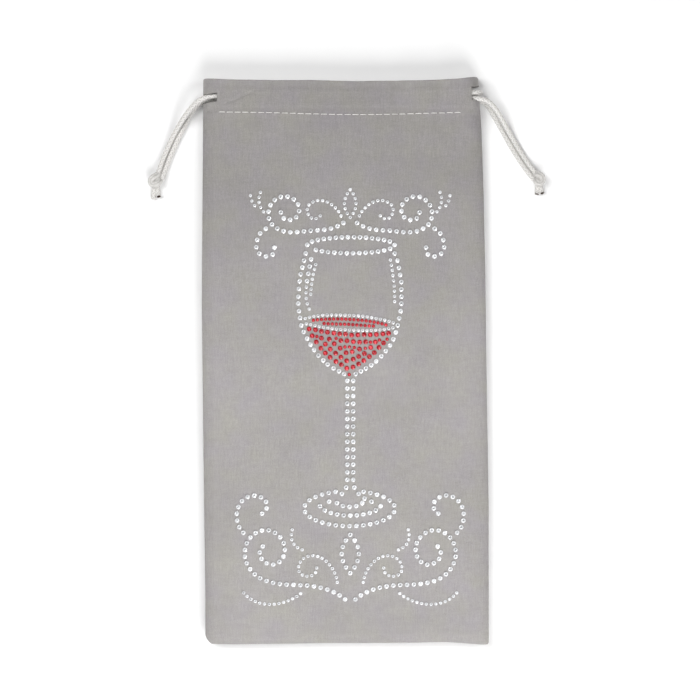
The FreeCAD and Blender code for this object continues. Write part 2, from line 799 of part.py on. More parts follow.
# scrolls and leaves, given for the right half as (distance from the centre line, y)
UPPER_LARGE = [
    [
        (4.0, 81.0), (13.0, 77.4), (24.5, 76.4), (37.0, 75.8), (46.8, 81.6), (46.4, 92.0),
        (38.0, 96.6), (30.4, 91.6), (31.6, 84.4), (37.6, 83.0), (40.6, 87.2),
    ],
    [(49.5, 77.6), (54.4, 71.4), (53.6, 63.4), (47.0, 61.6), (44.4, 66.6)],
]
UPPER_SMALL = [
    [(5.4, 85.2), (10.4, 91.4), (18.4, 94.2), (25.0, 90.0), (23.2, 84.2), (17.6, 85.2)],
    [(50.8, 87.6), (53.4, 93.2), (52.6, 99.0)],
    [(50.8, 87.6), (56.2, 91.4), (58.4, 97.0)],
    [(0.0, 84.2), (3.4, 92.0), (0.0, 100.6)],
]
LOWER_LARGE = [
    [
        (3.0, -139.4), (12.4, -134.0), (26.0, -131.2), (40.6, -130.4), (54.6, -125.8), (61.6, -115.0),
        (58.8, -103.6), (49.4, -98.8), (40.4, -103.8), (38.6, -112.8), (44.6, -119.0), (52.2, -115.4),
        (51.2, -108.4),
    ],
    [(62.6, -100.4), (66.4, -92.0), (64.0, -82.6), (55.4, -78.6), (49.0, -82.8), (51.6, -89.2)],
    [(0.0, -101.6), (5.0, -112.0), (0.0, -124.0)],
]
LOWER_SMALL = [
    [
        (7.6, -129.4), (11.6, -119.8), (20.0, -114.0), (28.6, -116.6), (29.6, -123.8), (23.0, -125.6),
        (19.6, -121.0),
    ],
    [(29.0, -136.0), (40.0, -141.4), (52.0, -141.8), (62.4, -135.6)],
    [(34.0, -98.6), (33.4, -106.4), (28.2, -110.4)],
]


def flourish(label, large_curves, small_curves):
    """A symmetrical ornament of scrolls and leaves."""
    large, small = [], []
    pitches = size("large_scroll_pitch"), size("small_scroll_pitch")
    for spots, curves, pitch in zip((large, small), (large_curves, small_curves), pitches):
        for points in curves:
            for side_points in mirrored(points):
                spots += spots_along(curve_through(side_points), pitch)
    return stone_group(label, large=large, small=small)


glass_stones()
wine_stones()
flourish("upper_scroll_stones", UPPER_LARGE, UPPER_SMALL)
flourish("lower_scroll_stones", LOWER_LARGE, LOWER_SMALL)


# ---------------------------------------------------------------- checks and export

PIECES = [
    "front_panel",
    "back_panel",
    "front_casing_hem",
    "back_casing_hem",
    "left_seam_allowance",
    "bottom_seam_allowance",
    "front_casing_stitches",
    "back_casing_stitches",
    "left_seam_stitches",
    "bottom_seam_stitches",
    "rim_stones",
    "bowl_stones",
    "highlight_stones",
    "stem_stones",
    "foot_stones",
    "wine_surface_stones",
    "wine_top_red_stones",
    "wine_red_stones",
    "wine_filler_red_stones",
    "upper_scroll_stones",
    "lower_scroll_stones",
    *(
        f"{side}_cord_{piece}"
        for side in ("left", "right")
        for piece in ("casing_loop", "front_strand", "back_strand", "knot", "tails")
    ),
]

doc.recompute()
failed = [o.Name for o in doc.Objects if {"Invalid", "Error"} & set(o.State)]
if failed:
    raise RuntimeError(f"objects failed to build: {failed}")
os.makedirs("parts", exist_ok=True)
for label in PIECES:
    piece = doc.getObjectsByLabel(label)[0]
    if piece.Shape.isNull() or not piece.Shape.isValid():
        raise RuntimeError(f"{label} has no valid shape")
    piece.Shape.exportStep(f"parts/{label}.step")
    box = piece.Shape.BoundBox
    solids, volume = len(piece.Shape.Solids), piece.Shape.Volume
    print(f"{label}: {solids} solids, {volume:.0f} mm3, z {box.ZMin:.2f} to {box.ZMax:.2f}")
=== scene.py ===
import math

import bpy
import numpy as np
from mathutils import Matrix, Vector


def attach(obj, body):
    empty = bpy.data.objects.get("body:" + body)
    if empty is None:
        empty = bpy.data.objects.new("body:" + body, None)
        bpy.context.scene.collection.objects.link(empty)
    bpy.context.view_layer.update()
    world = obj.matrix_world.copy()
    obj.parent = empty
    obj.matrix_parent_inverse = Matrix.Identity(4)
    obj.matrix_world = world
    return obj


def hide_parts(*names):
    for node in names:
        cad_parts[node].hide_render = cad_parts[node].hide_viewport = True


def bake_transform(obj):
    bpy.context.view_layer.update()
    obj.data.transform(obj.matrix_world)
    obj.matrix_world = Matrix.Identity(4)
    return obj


# A drawstring gift bag for one wine bottle, lying flat on its back.
# Shapes are worked out in millimetres and turned into metres when a mesh is made.

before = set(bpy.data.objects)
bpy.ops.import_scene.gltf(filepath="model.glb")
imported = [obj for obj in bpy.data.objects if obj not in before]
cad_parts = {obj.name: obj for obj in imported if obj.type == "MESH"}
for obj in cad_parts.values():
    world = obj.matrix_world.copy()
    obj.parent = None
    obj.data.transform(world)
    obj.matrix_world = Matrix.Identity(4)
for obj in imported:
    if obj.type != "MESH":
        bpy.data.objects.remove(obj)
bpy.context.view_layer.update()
MM = 0.001

# ---------------- sizes, most of them the CAD's

HALF_LENGTH = 165.0
CLOTH = 0.9
SEAM = 5.5
BODY_RISE, BAND_RISE, TUBE_RISE = 5.5, 6.5, 10.0
RAW_EDGE_Y = 137.0
BODY_MARGIN, BAND_MARGIN, TUBE_MARGIN = 14.0, 8.0, 4.0
HEM_LEFT, HEM_RIGHT = -73.0, 70.0
SEAM_GAP = 0.9
TURN = 0.4
SIDE_ALLOWANCE, BOTTOM_ALLOWANCE = 7.6, 5.9
LEFT_CORNER, RIGHT_CORNER, TOP_CORNER = 5.9, 1.8, 1.9
FOLD_RADIUS = 0.46
# each slot's lowest and highest y, and its depth in the front and in the back
LEFT_SLOT = (151.8, 156.8, 8.8, 8.8)
RIGHT_SLOT = (152.1, 159.5, 4.7, 8.8)
CORD = 3.0
FACE_ROW_Z = 11.95  # the casing stitches above this height are the outer row

# ---------------- number helpers


def smooth(t):
    """0 to 1, level at both ends."""
    t = np.clip(t, 0.0, 1.0)
    return t * t * (3 - 2 * t)


def rounded(t):
    """0 to 1, steep at 0 like the side of a cushion and level at 1."""
    return (1 - (1 - np.clip(t, 0.0, 1.0)) ** 2.2) ** 0.55


def through(points):
    """A smooth curve of y through (x, y) points."""
    xs, ys = (np.array(v, float) for v in zip(*points))
    fine = np.linspace(xs[0], xs[-1], 700)
    values = np.interp(fine, xs, ys)
    reach = 30
    kernel = np.hanning(2 * reach + 1)
    kernel /= kernel.sum()
    values = np.convolve(np.pad(values, reach, mode="edge"), kernel, mode="valid")
    return lambda x: np.interp(x, fine, values)


def running(line):
    """Distance along a line at each of its points."""
    return np.concatenate([[0], np.cumsum(np.linalg.norm(np.diff(line, axis=0), axis=1))])


def waves(seed, count, short, long, lean=(0.0, math.pi)):
    """A random smooth field of about -1 to 1, with wavelengths between short and long."""
    draw = np.random.default_rng(seed)
    heading = draw.uniform(*lean, count)
    length = np.exp(draw.uniform(math.log(short), math.log(long), count))
    phase = draw.uniform(0, 2 * math.pi, count)
    weight = length / math.sqrt((length**2).sum() / 2)

    def field(x, y):
        total = 0.0
        for a, w, p, k in zip(heading, length, phase, weight):
            total = total + k * np.cos(2 * math.pi * (math.cos(a) * x + math.sin(a) * y) / w + p)
        return total * 0.6

    return field


def islands(cad_node):
    """The separate solids of a CAD node, as (lowest corner, highest corner) in millimetres."""
    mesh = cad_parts[cad_node].data
    co = np.zeros(len(mesh.vertices) * 3)
    mesh.vertices.foreach_get("co", co)
    co = co.reshape(-1, 3) / MM
    edges = np.zeros(len(mesh.edges) * 2, int)
    mesh.edges.foreach_get("vertices", edges)
    welded = np.unique(np.round(co, 3), axis=0, return_inverse=True)[1].reshape(-1)
    edges = welded[edges.reshape(-1, 2)]
    label = np.arange(welded.max() + 1)
    while True:
        low = np.minimum(label[edges[:, 0]], label[edges[:, 1]])
        before = label.copy()
        np.minimum.at(label, edges[:, 0], low)
        np.minimum.at(label, edges[:, 1], low)
        label = label[label]
        if (label == before).all():
            break
    mine = label[welded]
    return [(co[mine == k].min(0), co[mine == k].max(0)) for k in np.unique(mine)]


# ---------------- mesh helpers


def mesh_object(name, points, faces, look, normals=None, attributes=None):
    """A smooth-shaded mesh; points in millimetres, normals one per face corner."""
    mesh = bpy.data.meshes.new(name)
    mesh.from_pydata((np.asarray(points) * MM).tolist(), [], faces)
    for key, values in (attributes or {}).items():
        values = np.asarray(values, np.float32)
        kind = "FLOAT" if values.ndim == 1 else "FLOAT_VECTOR"
        layer = mesh.attributes.new(key, kind, "POINT")
        layer.data.foreach_set("value" if values.ndim == 1 else "vector", values.ravel())
    mesh.materials.append(look)
    mesh.polygons.foreach_set("use_smooth", [True] * len(mesh.polygons))
    if normals is not None:
        mesh.normals_split_custom_set(normals)
    obj = bpy.data.objects.new(name, mesh)
    bpy.context.scene.collection.objects.link(obj)
    return obj


def joined(parts):
    """One list of points and one of faces, from several (points, faces) parts."""
    faces, count = [], 0
    for points, own_faces in parts:
        faces += [tuple(v + count for v in face) for face in own_faces]
        count += len(points)
    return np.concatenate([points for points, _ in parts]), faces


def node(tree, kind, **settings):
    """A shader node; settings are its properties, or its inputs if they start with in_."""
    made = tree.nodes.new(kind)
    for key, value in settings.items():
        if key.startswith("in_"):
            made.inputs[key[3:].replace("_", " ")].default_value = value
        else:
            setattr(made, key, value)
    return made


def set_inputs(shader, **values):
    """Set inputs of a shader by name, with _ for a space."""
    for key, value in values.items():
        shader.inputs[key.replace("_", " ")].default_value = value


def material(name):
    """An empty material with its principled shader."""
    made = bpy.data.materials.new(name)
    made.use_nodes = True
    return made, made.node_tree, made.node_tree.nodes["Principled BSDF"]


def noise(tree, vector, scale, stretch=(1, 1, 1), detail=2.0):
    """Noise on the given coordinates, about 0 to 1."""
    mapping = node(tree, "ShaderNodeMapping")
    mapping.inputs["Scale"].default_value = [scale * s for s in stretch]
    tree.links.new(vector, mapping.inputs["Vector"])
    made = node(tree, "ShaderNodeTexNoise", in_Scale=1.0, in_Detail=detail)
    tree.links.new(mapping.outputs["Vector"], made.inputs["Vector"])
    return made.outputs["Fac"]


def remap(tree, value, low, high, to_low, to_high):
    """Value moved from one range to another."""
    made = node(tree, "ShaderNodeMapRange")
    limits = {"From Min": low, "From Max": high, "To Min": to_low, "To Max": to_high}
    for key, number in limits.items():
        made.inputs[key].default_value = number
    tree.links.new(value, made.inputs["Value"])
    return made.outputs["Result"]


def math_of(tree, operation, first, second=0.0):
    """A math node; second is a socket or a number, which some operations don't use."""
    made = node(tree, "ShaderNodeMath", operation=operation)
    tree.links.new(first, made.inputs[0])
    if isinstance(second, (int, float)):
        made.inputs[1].default_value = second
    else:
        tree.links.new(second, made.inputs[1])
    return made.outputs[0]


def mix_colours(tree, factor, first, second):
    """A colour between two, each of them a socket or three numbers."""
    made = node(tree, "ShaderNodeMix", data_type="RGBA")
    tree.links.new(factor, made.inputs[0])
    for entry, colour in zip((made.inputs[6], made.inputs[7]), (first, second)):
        if isinstance(colour, tuple):
            entry.default_value = (*colour, 1)
        else:
            tree.links.new(colour, entry)
    return made.outputs[2]


def shaded(tree, colour, factor):
    """A colour made darker or lighter by a factor."""
    made = node(tree, "ShaderNodeVectorMath", operation="SCALE")
    tree.links.new(colour, made.inputs[0])
    tree.links.new(factor, made.inputs["Scale"])
    return made.outputs[0]


def bump(tree, shader, height, strength, distance):
    """Fine relief on a shader."""
    made = node(tree, "ShaderNodeBump", in_Strength=strength, in_Distance=distance)
    tree.links.new(height, made.inputs["Height"])
    tree.links.new(made.outputs["Normal"], shader.inputs["Normal"])


# ---------------- materials


def suede(name):
    """Short-nap microsuede, mottled grey with a faint upright grain."""
    made, tree, shader = material(name)
    place = node(tree, "ShaderNodeAttribute", attribute_name="rest_place").outputs["Vector"]
    patches = noise(tree, place, 62, detail=3.0)
    clouds = noise(tree, place, 17, detail=2.0)
    grain = noise(tree, place, 1500, (1, 0.11, 1))
    weave = noise(tree, place, 700, (0.25, 1.1, 1))
    nap = noise(tree, place, 2500, detail=3.0)
    hue = remap(tree, patches, 0.32, 0.68, 0.0, 1.0)
    colour = mix_colours(tree, hue, (0.352, 0.333, 0.343), (0.358, 0.345, 0.322))
    tone = remap(tree, clouds, 0.3, 0.7, 0.95, 1.05)
    parts = node(tree, "ShaderNodeSeparateXYZ")
    tree.links.new(place, parts.inputs[0])
    # painted shade: the cloth is painted darker towards the top
    painted_top_shade = remap(tree, parts.outputs["Y"], 0.17, 0.29, 1.0, 0.83)
    header = remap(tree, parts.outputs["Y"], 0.330, 0.336, 1.0, 1.16)
    tone = math_of(tree, "MULTIPLY", math_of(tree, "MULTIPLY", tone, painted_top_shade), header)
    for value, depth in ((grain, 0.07), (weave, 0.04), (nap, 0.15)):
        tone = math_of(tree, "MULTIPLY", tone, remap(tree, value, 0.25, 0.75, 1 - depth, 1 + depth))
    colour = shaded(tree, colour, tone)
    tree.links.new(colour, shader.inputs["Base Color"])
    set_inputs(shader, Roughness=0.92, Specular_IOR_Level=0.2, Sheen_Weight=0.22, Sheen_Roughness=0.45)
    height = math_of(tree, "ADD", nap, math_of(tree, "MULTIPLY", grain, 0.6))
    bump(tree, shader, height, 0.5, 0.0002)
    return made


def satin(name):
    """Satin braid, off-white, with the shade of its own hollows and the lustre of its filaments."""
    made, tree, shader = material(name)
    relief = node(tree, "ShaderNodeAttribute", attribute_name="relief").outputs["Fac"]
    fibre = node(tree, "ShaderNodeAttribute", attribute_name="fibre").outputs["Vector"]
    hair = noise(tree, fibre, 1.0, (9, 0.9, 1), detail=2.0)
    height = remap(tree, relief, 0.0, 0.75, 0.0, 1.0)
    colour = mix_colours(tree, height, (0.29, 0.275, 0.255), (0.76, 0.745, 0.72))
    colour = shaded(tree, colour, remap(tree, hair, 0.25, 0.75, 0.90, 1.06))
    tree.links.new(colour, shader.inputs["Base Color"])
    set_inputs(shader, Roughness=0.36, Sheen_Weight=0.15)
    bump(tree, shader, hair, 0.35, 0.00008)
    return made


def sewing_thread(name):
    """Twisted polyester thread."""
    made, tree, shader = material(name)
    place = node(tree, "ShaderNodeTexCoord").outputs["Object"]
    fuzz = noise(tree, place, 5200)
    colour = mix_colours(tree, fuzz, (0.84, 0.82, 0.79), (0.97, 0.96, 0.94))
    tree.links.new(colour, shader.inputs["Base Color"])
    set_inputs(shader, Roughness=0.5)
    bump(tree, shader, fuzz, 0.3, 0.00005)
    return made


def crystal(name, facets, table, painted_glow):
    """Foil-backed cut glass, with painted light: the facets painted bright as light thrown back, the table
    painted darker as a window on the foil, a painted sparkle that differs from stone to stone, and a faint
    painted glow.
    """
    made, tree, shader = material(name)
    chance = node(tree, "ShaderNodeNewGeometry").outputs["Random Per Island"]
    cut = node(tree, "ShaderNodeAttribute", attribute_name="cut").outputs["Fac"]
    window = node(tree, "ShaderNodeRGB")
    window.outputs[0].default_value = (*table, 1)
    # painted sparkle: each stone's table is lit or dark at random, and each whole stone a little brighter or
    # darker
    painted_sparkle = math_of(tree, "FRACT", math_of(tree, "MULTIPLY", chance, 7.3))
    window = shaded(tree, window.outputs[0], remap(tree, painted_sparkle, 0.0, 1.0, 0.55, 1.35))
    colour = mix_colours(tree, cut, window, facets)
    colour = shaded(tree, colour, remap(tree, chance, 0.0, 1.0, 0.86, 1.08))
    tree.links.new(colour, shader.inputs["Base Color"])
    # painted glow: the stones give off a little light in their own colour
    tree.links.new(colour, shader.inputs["Emission Color"])
    set_inputs(shader, Emission_Strength=painted_glow, Metallic=0.25, Roughness=0.12)
    set_inputs(shader, Coat_Weight=1.0, Coat_Roughness=0.03)
    return made


def plain(name, colour, roughness):
    """A plain matt surface with a little grain."""
    made, tree, shader = material(name)
    place = node(tree, "ShaderNodeTexCoord").outputs["Object"]
    speckle = noise(tree, place, 3000)
    dark = tuple(c * 0.7 for c in colour)
    tree.links.new(mix_colours(tree, speckle, dark, colour), shader.inputs["Base Color"])
    set_inputs(shader, Roughness=roughness)
    return made


cloth_look = suede("microsuede")
cord_look = satin("satin_braid")
thread_look = sewing_thread("sewing_thread")
# the facet and table colours hold painted reflection, and the last number is a painted glow
clear_look = crystal("clear_crystal", (0.94, 0.95, 0.97), (0.62, 0.64, 0.66), 0.16)
red_look = crystal("red_crystal", (0.50, 0.010, 0.018), (0.84, 0.085, 0.11), 0.10)
# dark brown, for the inside of the cut ends
end_inside_look = plain("cut_end_inside", (0.10, 0.065, 0.045), 0.9)

# ---------------- the bag's outline and height

right_edge = through(
    [(-165, 84.3), (-81, 84.2), (-23, 83.2), (36, 82.5), (94, 81.4), (140, 79.9), (150, 79.0),
     (159, 78.3), (165, 78.0)]
)
left_edge = through(
    [(-165, 82.2), (-140, 82.2), (-81, 83.0), (-23, 83.7), (36, 84.3), (94, 83.9), (165, 83.4)]
)
mouth_line = through(
    [(-84, 0.8), (-79, 0.5), (-67, -0.1), (-38, -0.5), (-20, -0.4), (3, -1.1), (44, -0.6), (67, 0.4),
     (76, 1.8), (84, 2.0)]
)
bottom_line = through(
    [(-84, -0.9), (-67, -1.3), (-50, -1.1), (-10, -0.5), (30, -0.4), (60, 0.1), (72, -0.8), (84, -1.6)]
)


def sharp_through(points):
    """Straight runs between points with softened corners, for the short steps of the casing."""
    xs, ys = (np.array(v, float) for v in zip(*points))

    def curve(x):
        total = 0.0
        for shift, share in ((-0.9, 0.25), (0.0, 0.5), (0.9, 0.25)):
            total = total + share * np.interp(x + shift, xs, ys)
        return total

    return curve


front_rise = sharp_through(
    [(-165, BODY_RISE), (122, BODY_RISE), (136, BAND_RISE), (145.0, BAND_RISE - 0.1), (148.8, TUBE_RISE),
     (158.6, TUBE_RISE), (161.5, 9.0), (165, 8.0)]
)
side_margin = sharp_through(
    [(-165, BODY_MARGIN), (125, BODY_MARGIN), (137, BAND_MARGIN), (145, BAND_MARGIN), (148.5, TUBE_MARGIN),
     (160, TUBE_MARGIN), (163, BAND_MARGIN), (165, BAND_MARGIN)]
)
back_hem_height = sharp_through(
    [(136, 1.37), (145.0, 1.37), (148.2, 4.85), (159.8, 4.85), (162.8, 1.37), (165, 1.37)]
)

broad = waves(11, 26, 26, 75)
small = waves(12, 40, 8, 22)
upright = waves(13, 22, 11, 34, lean=(-0.18, 0.18))
fine_upright = waves(14, 26, 5, 11, lean=(-0.25, 0.25))
back_waves = waves(15, 30, 18, 60)
stitch_marks = [b for b in islands("front_casing_stitches") if b[1][2] > FACE_ROW_Z]
stitch_ends = np.array([v for low, high in stitch_marks for v in (low[0], high[0])])
stitch_line = float(np.mean([low[1] + high[1] for low, high in stitch_marks]) / 2)
stitch_dip = through(
    [(-84, 1.3), (-73, 1.2), (-44, 0.85), (-26, 0.3), (0, -0.3), (22, -0.2), (42, 0.3), (70, 1.05),
     (84, 1.2)]
)


def sewn(x, y):
    """How far the casing's stitches pull the cloth in."""
    y = y - stitch_dip(x)
    near = np.exp(-(((y - stitch_line) / 1.3) ** 2))
    pull = 0.16 * near
    holes = np.zeros_like(x)
    for end in stitch_ends:
        holes += np.exp(-((x - end) ** 2) / 0.5)
    pull = pull + 0.20 * holes * np.exp(-(((y - stitch_line) / 0.8) ** 2))
    pucker = np.exp(-(((y - stitch_line) / 4.5) ** 2))
    return pull - 0.07 * pucker * fine_upright(x * 1.3, y)


def front_relief(x, y):
    """Soft undulations of the front."""
    casing = smooth((y - 118) / 26)
    header = smooth((y - 158) / 6)
    relief = 0.20 * broad(x, y) + 0.07 * small(x, y) * (1 - casing)
    relief = relief + 0.16 * upright(x, y * 0.6) * (1 - casing)
    relief = relief + casing * (0.62 * upright(x + 0.10 * y, y * 0.5) + 0.16 * fine_upright(x, y * 0.5))
    relief = relief + header * 0.30 * upright(x * 1.1 + 3, y)
    fold_line = y - 150.0 - 0.42 * (x + 72)
    crease = np.exp(-((fold_line / 1.1) ** 2)) * smooth((x + 74) / 4) * (1 - smooth((x + 60) / 10))
    relief = relief - 0.60 * crease
    below_casing = 1 - smooth((y - 128) / 12)
    ridge = np.exp(-(((x + 76.6) / 0.8) ** 2)) * below_casing
    ridge = ridge + 0.6 * np.exp(-(((y + 158.9) / 0.9) ** 2))
    step = (1 - smooth((x + 77.0) / 1.3)) * below_casing + 0.5 * (1 - smooth((y + 159.3) / 1.3))
    return relief + 0.24 * ridge + 0.42 * step


def edge_of(half, y):
    """Distance from x = 0 to the cloth's middle layer at that side's edge, lower corners rounded."""
    reach = np.where(half > 0, right_edge(y), left_edge(y)) - CLOTH / 2
    radius = np.where(half > 0, RIGHT_CORNER, LEFT_CORNER)
    into = np.clip(radius - (y + HALF_LENGTH), 0, radius)
    reach = reach - (radius - np.sqrt(np.maximum(radius**2 - into**2, 0)))
    into_top = np.clip(TOP_CORNER - (HALF_LENGTH + 0.3 - y), 0, TOP_CORNER)
    return reach - (TOP_CORNER - np.sqrt(TOP_CORNER**2 - into_top**2)) * (half > 0)


def panel_height(side, half, x, y, inward):
    """Height of the cloth's middle layer; inward is the distance from the side's edge."""
    bottom = np.clip(y + HALF_LENGTH - CLOTH / 2, 0, None)
    spread = rounded(inward / side_margin(y)) * rounded(bottom / BODY_MARGIN)
    below = 1 - rounded(bottom / BODY_MARGIN)
    apart_right = SEAM_GAP * smooth(inward / 3) * below
    apart = np.where(half > 0, apart_right, SEAM_GAP * (1 - spread))
    corner = (1 - smooth((inward - 6) / 3)) * (1 - smooth((bottom - 3) / 2)) * (half < 0)
    apart = np.minimum(apart, SEAM_GAP * (1 - corner / 2))
    if side > 0:
        z = SEAM + apart + (front_rise(y) - CLOTH / 2) * spread
        calm = smooth(inward / 9) * smooth(bottom / 5)
        return z + front_relief(x, y) * calm - sewn(x, y) * smooth((inward - 1) / 3)
    z = SEAM - apart - (SEAM - CLOTH / 2) * spread
    lift = 0.30 * (1 + back_waves(x, y)) * smooth(inward / 9) * smooth(bottom / 5)
    return z + np.clip(lift, 0, None) + 0.5 * np.exp(-(((y - stitch_line) / 1.3) ** 2))


# ---------------- the cloth, folded at the right edge

# distances from an edge, closer together towards it
EDGE_STEPS = np.array(
    [14, 12.4, 10.8, 9.3, 7.9, 6.6, 5.4, 4.3, 3.3, 2.5, 1.8, 1.25, 0.8, 0.45, 0.22, 0.09, 0.02]
)
INNER = np.linspace(0, 1, 74)
ROWS = np.concatenate(
    [
        -HALF_LENGTH + CLOTH / 2 + EDGE_STEPS[::-1],
        np.arange(-149.6, 140.0, 1.25),
        np.arange(141.0, 151.0, 0.5),
        [151.8, 152.1],
        np.arange(152.8, 156.6, 0.6),
        [156.8],
        np.arange(157.4, 159.4, 0.6),
        [159.5],
        np.arange(160.1, 164.0, 0.6),
        [HALF_LENGTH - CLOTH],
    ]
)


def columns():
    """(side, half, kind, value) of every column: left seam, front, fold, back, left seam."""
    quarter = [("in", f) for f in INNER] + [("edge", d) for d in EDGE_STEPS[1:]]
    seam = [("turn", a) for a in (20, 45, 70, 90)]
    seam += [("flat", d) for d in np.linspace(0.8, SIDE_ALLOWANCE, 8)]
    left = quarter + seam
    listed = [(1, -1, *c) for c in reversed(left)]
    listed += [(1, 1, *c) for c in quarter[1:]] + [(1, 1, "edge", 0.0)]
    listed += [(-1, 1, *c) for c in reversed(quarter)]
    listed += [(-1, -1, *c) for c in left[1:]]
    return listed


def column_at(column, y):
    """Places across and in height of a column at every y, and their distance from the edge."""
    side, half, kind, value = column
    edge = edge_of(half, y)
    if kind == "in":
        inward = edge - value * (edge - BODY_MARGIN)
    elif kind == "turn":
        inward = np.full_like(y, TURN * (1 - math.cos(math.radians(value))))
    else:
        inward = np.full_like(y, value)
    x = half * (edge - inward)
    if kind == "turn":
        z = SEAM + side * (SEAM_GAP - TURN * math.sin(math.radians(value))) + 0 * y
    elif kind == "flat":
        z = SEAM + side * (SEAM_GAP - TURN) + 0 * y
    else:
        z = panel_height(side, half, x, y, inward)
    return x, z, inward


def cloth_grid():
    """Places of the cloth's middle layer, and what each row and column is."""
    cols = columns()
    rows = [("flat", d) for d in np.linspace(BOTTOM_ALLOWANCE, 0.8, 6)]
    rows += [("turn", a) for a in (90, 70, 45, 20)]
    rows += [("panel", y) for y in ROWS] + [("fold", a) for a in range(20, 181, 20)]
    rows += [("hem", y) for y in np.arange(163.2, RAW_EDGE_Y - 0.1, -0.9)]
    values = np.array([v for _, v in rows], float)
    body, turned, flat, fold, hem = (
        [j for j, row in enumerate(rows) if row[0] == wanted]
        for wanted in ("panel", "turn", "flat", "fold", "hem")
    )
    place = np.zeros((len(rows), len(cols), 3))
    floor_y = -HALF_LENGTH + CLOTH / 2
    for i, column in enumerate(cols):
        side, kind = column[0], column[2]
        y = values[body]
        x, z, inward = column_at(column, y)
        place[body, i] = np.stack([x, y, z], 1)
        x0, z0, _ = column_at(column, np.array([floor_y]))
        share = float(np.clip(abs(z0[0] - SEAM) / SEAM_GAP, 0, 1)) if kind in ("in", "edge") else 0.0
        angle = np.radians(values[turned])
        zs = z0[0] - side * TURN * np.sin(angle) * share
        place[turned, i] = np.stack([x0[0] + 0 * angle, floor_y + TURN * (1 - np.cos(angle)), zs], 1)
        run = values[flat]
        zs = z0[0] - side * TURN * share + 0 * run
        place[flat, i] = np.stack([x0[0] + 0 * run, floor_y + run, zs], 1)
        angle = np.radians(values[fold])
        radius = FOLD_RADIUS * float(smooth((inward[-1] + 0.5) / 1.5))
        zs = z[-1] - side * radius * (1 - np.cos(angle))
        place[fold, i] = np.stack([x[-1] + 0 * angle, y[-1] + radius * np.sin(angle), zs], 1)
        hy = values[hem]
        hx, hz, _ = column_at(column, hy)
        hx = np.full_like(hy, x[-1]) * 0.35 + hx * 0.65
        mouth_z = z[-1] - side * 2 * radius
        if side > 0:
            settled = np.minimum(hz - 2 * FOLD_RADIUS, mouth_z)
            blend = smooth((HALF_LENGTH - 1.2 - hy) / 3)
        else:
            settled = np.maximum(hz + 2 * FOLD_RADIUS, back_hem_height(hy))
            blend = smooth((HALF_LENGTH - 1.2 - hy) / 2)
        place[hem, i] = np.stack([hx, hy, mouth_z * (1 - blend) + settled * blend], 1)
    return place, rows, cols


# how far each turned-in strip reaches: across the bag, and along it for the left allowance
BOTTOM_SPAN, BOTTOM_TURN_SPAN, MOUTH_SPAN = (-72, 78), (-75, 82.6), (-83.4, 77.2)
SIDE_SPAN, SIDE_TURN_LOW = (-157, 133), -161


def touching(kinds, wanted):
    """True for each strip of cells with the wanted kind of row, or column, on either side."""
    return np.array([wanted in pair for pair in zip(kinds, kinds[1:])])


def cell_mask(place, rows, cols):
    """True where a cell of the grid is cloth."""
    mask = np.ones((len(rows) - 1, len(cols) - 1), bool)
    middle = (place[:-1, :-1] + place[1:, 1:]) / 2
    x, y = middle[..., 0], middle[..., 1]
    row_kinds, col_kinds = [r[0] for r in rows], [c[2] for c in cols]
    in_hem, in_bottom, in_turn, in_fold = (touching(row_kinds, k) for k in ("hem", "flat", "turn", "fold"))
    in_panel = ~(in_hem | in_bottom | in_turn | in_fold)
    col_flat, col_turn = touching(col_kinds, "flat"), touching(col_kinds, "turn")
    for strip, (low, high) in (
        (in_hem, (HEM_LEFT, HEM_RIGHT)),
        (in_bottom, BOTTOM_SPAN),
        (in_turn, BOTTOM_TURN_SPAN),
        (in_fold, MOUTH_SPAN),
    ):
        mask[strip] &= (x[strip] > low) & (x[strip] < high)
    mask[:, col_flat] &= ((y > SIDE_SPAN[0]) & (y < SIDE_SPAN[1]))[:, col_flat]
    mask[:, col_turn] &= (y > SIDE_TURN_LOW)[:, col_turn]
    mask[:, col_flat | col_turn] &= in_panel[:, None]
    front = np.array([c[0] for c in cols])[:-1] > 0
    nominal = np.array([v for _, v in rows], float)
    nominal = (nominal[:-1] + nominal[1:])[:, None] / 2 + 0 * x
    inwards = x + left_edge(y), right_edge(y) - x
    for (low, high, deep_front, deep_back), inward in zip((LEFT_SLOT, RIGHT_SLOT), inwards):
        deep = np.where(front[None, :], deep_front, deep_back)
        slot = (nominal > low) & (nominal < high) & (inward < deep)
        mask &= ~(slot & in_panel[:, None])
    return mask


def shift_rows(place):
    """The wavy mouth and bottom, and the lean of the left slot."""
    x, y = place[..., 0], place[..., 1]
    moved = mouth_line(x) * smooth((y - 146) / 17) + bottom_line(x) * (1 - smooth((y + 165) / 22))
    lean = 1.4 * (1 - smooth((x + 84.5) / 11.5)) * smooth((y - 140) / 11) * (1 - smooth((y - 157.5) / 7))
    place[..., 1] = y + moved - lean


MEASURED_COLUMN = 120  # on the front, clear of the edges, where the cloth's length is measured


def cloth_pieces():
    """The cloth as two pieces, a right half and a left half, that meet at x = 0."""
    place, rows, cols = cloth_grid()
    mask = cell_mask(place, rows, cols)
    rest_v = running(place[:, MEASURED_COLUMN])
    shift_rows(place)
    along = np.gradient(place, axis=0)
    around = np.gradient(place, axis=1)
    normal = np.cross(around, along)
    normal /= np.linalg.norm(normal, axis=2, keepdims=True) + 1e-12
    outer, inner = place + normal * CLOTH / 2, place - normal * CLOTH / 2
    rest = np.stack([place[..., 0], rest_v[:, None] + 0 * place[..., 0], place[..., 2] * 0.2], 2)
    centre = [i for i, c in enumerate(cols) if c[2] == "in" and c[3] == 0]
    count = len(cols)
    right = list(range(centre[0], centre[1]))
    left = list(range(0, centre[0])) + list(range(centre[1], count - 1))
    return [
        sheet_mesh(name, cells, mask, outer, inner, normal, rest)
        for name, cells in (("cloth_right_half", right), ("cloth_left_half", left))
    ]


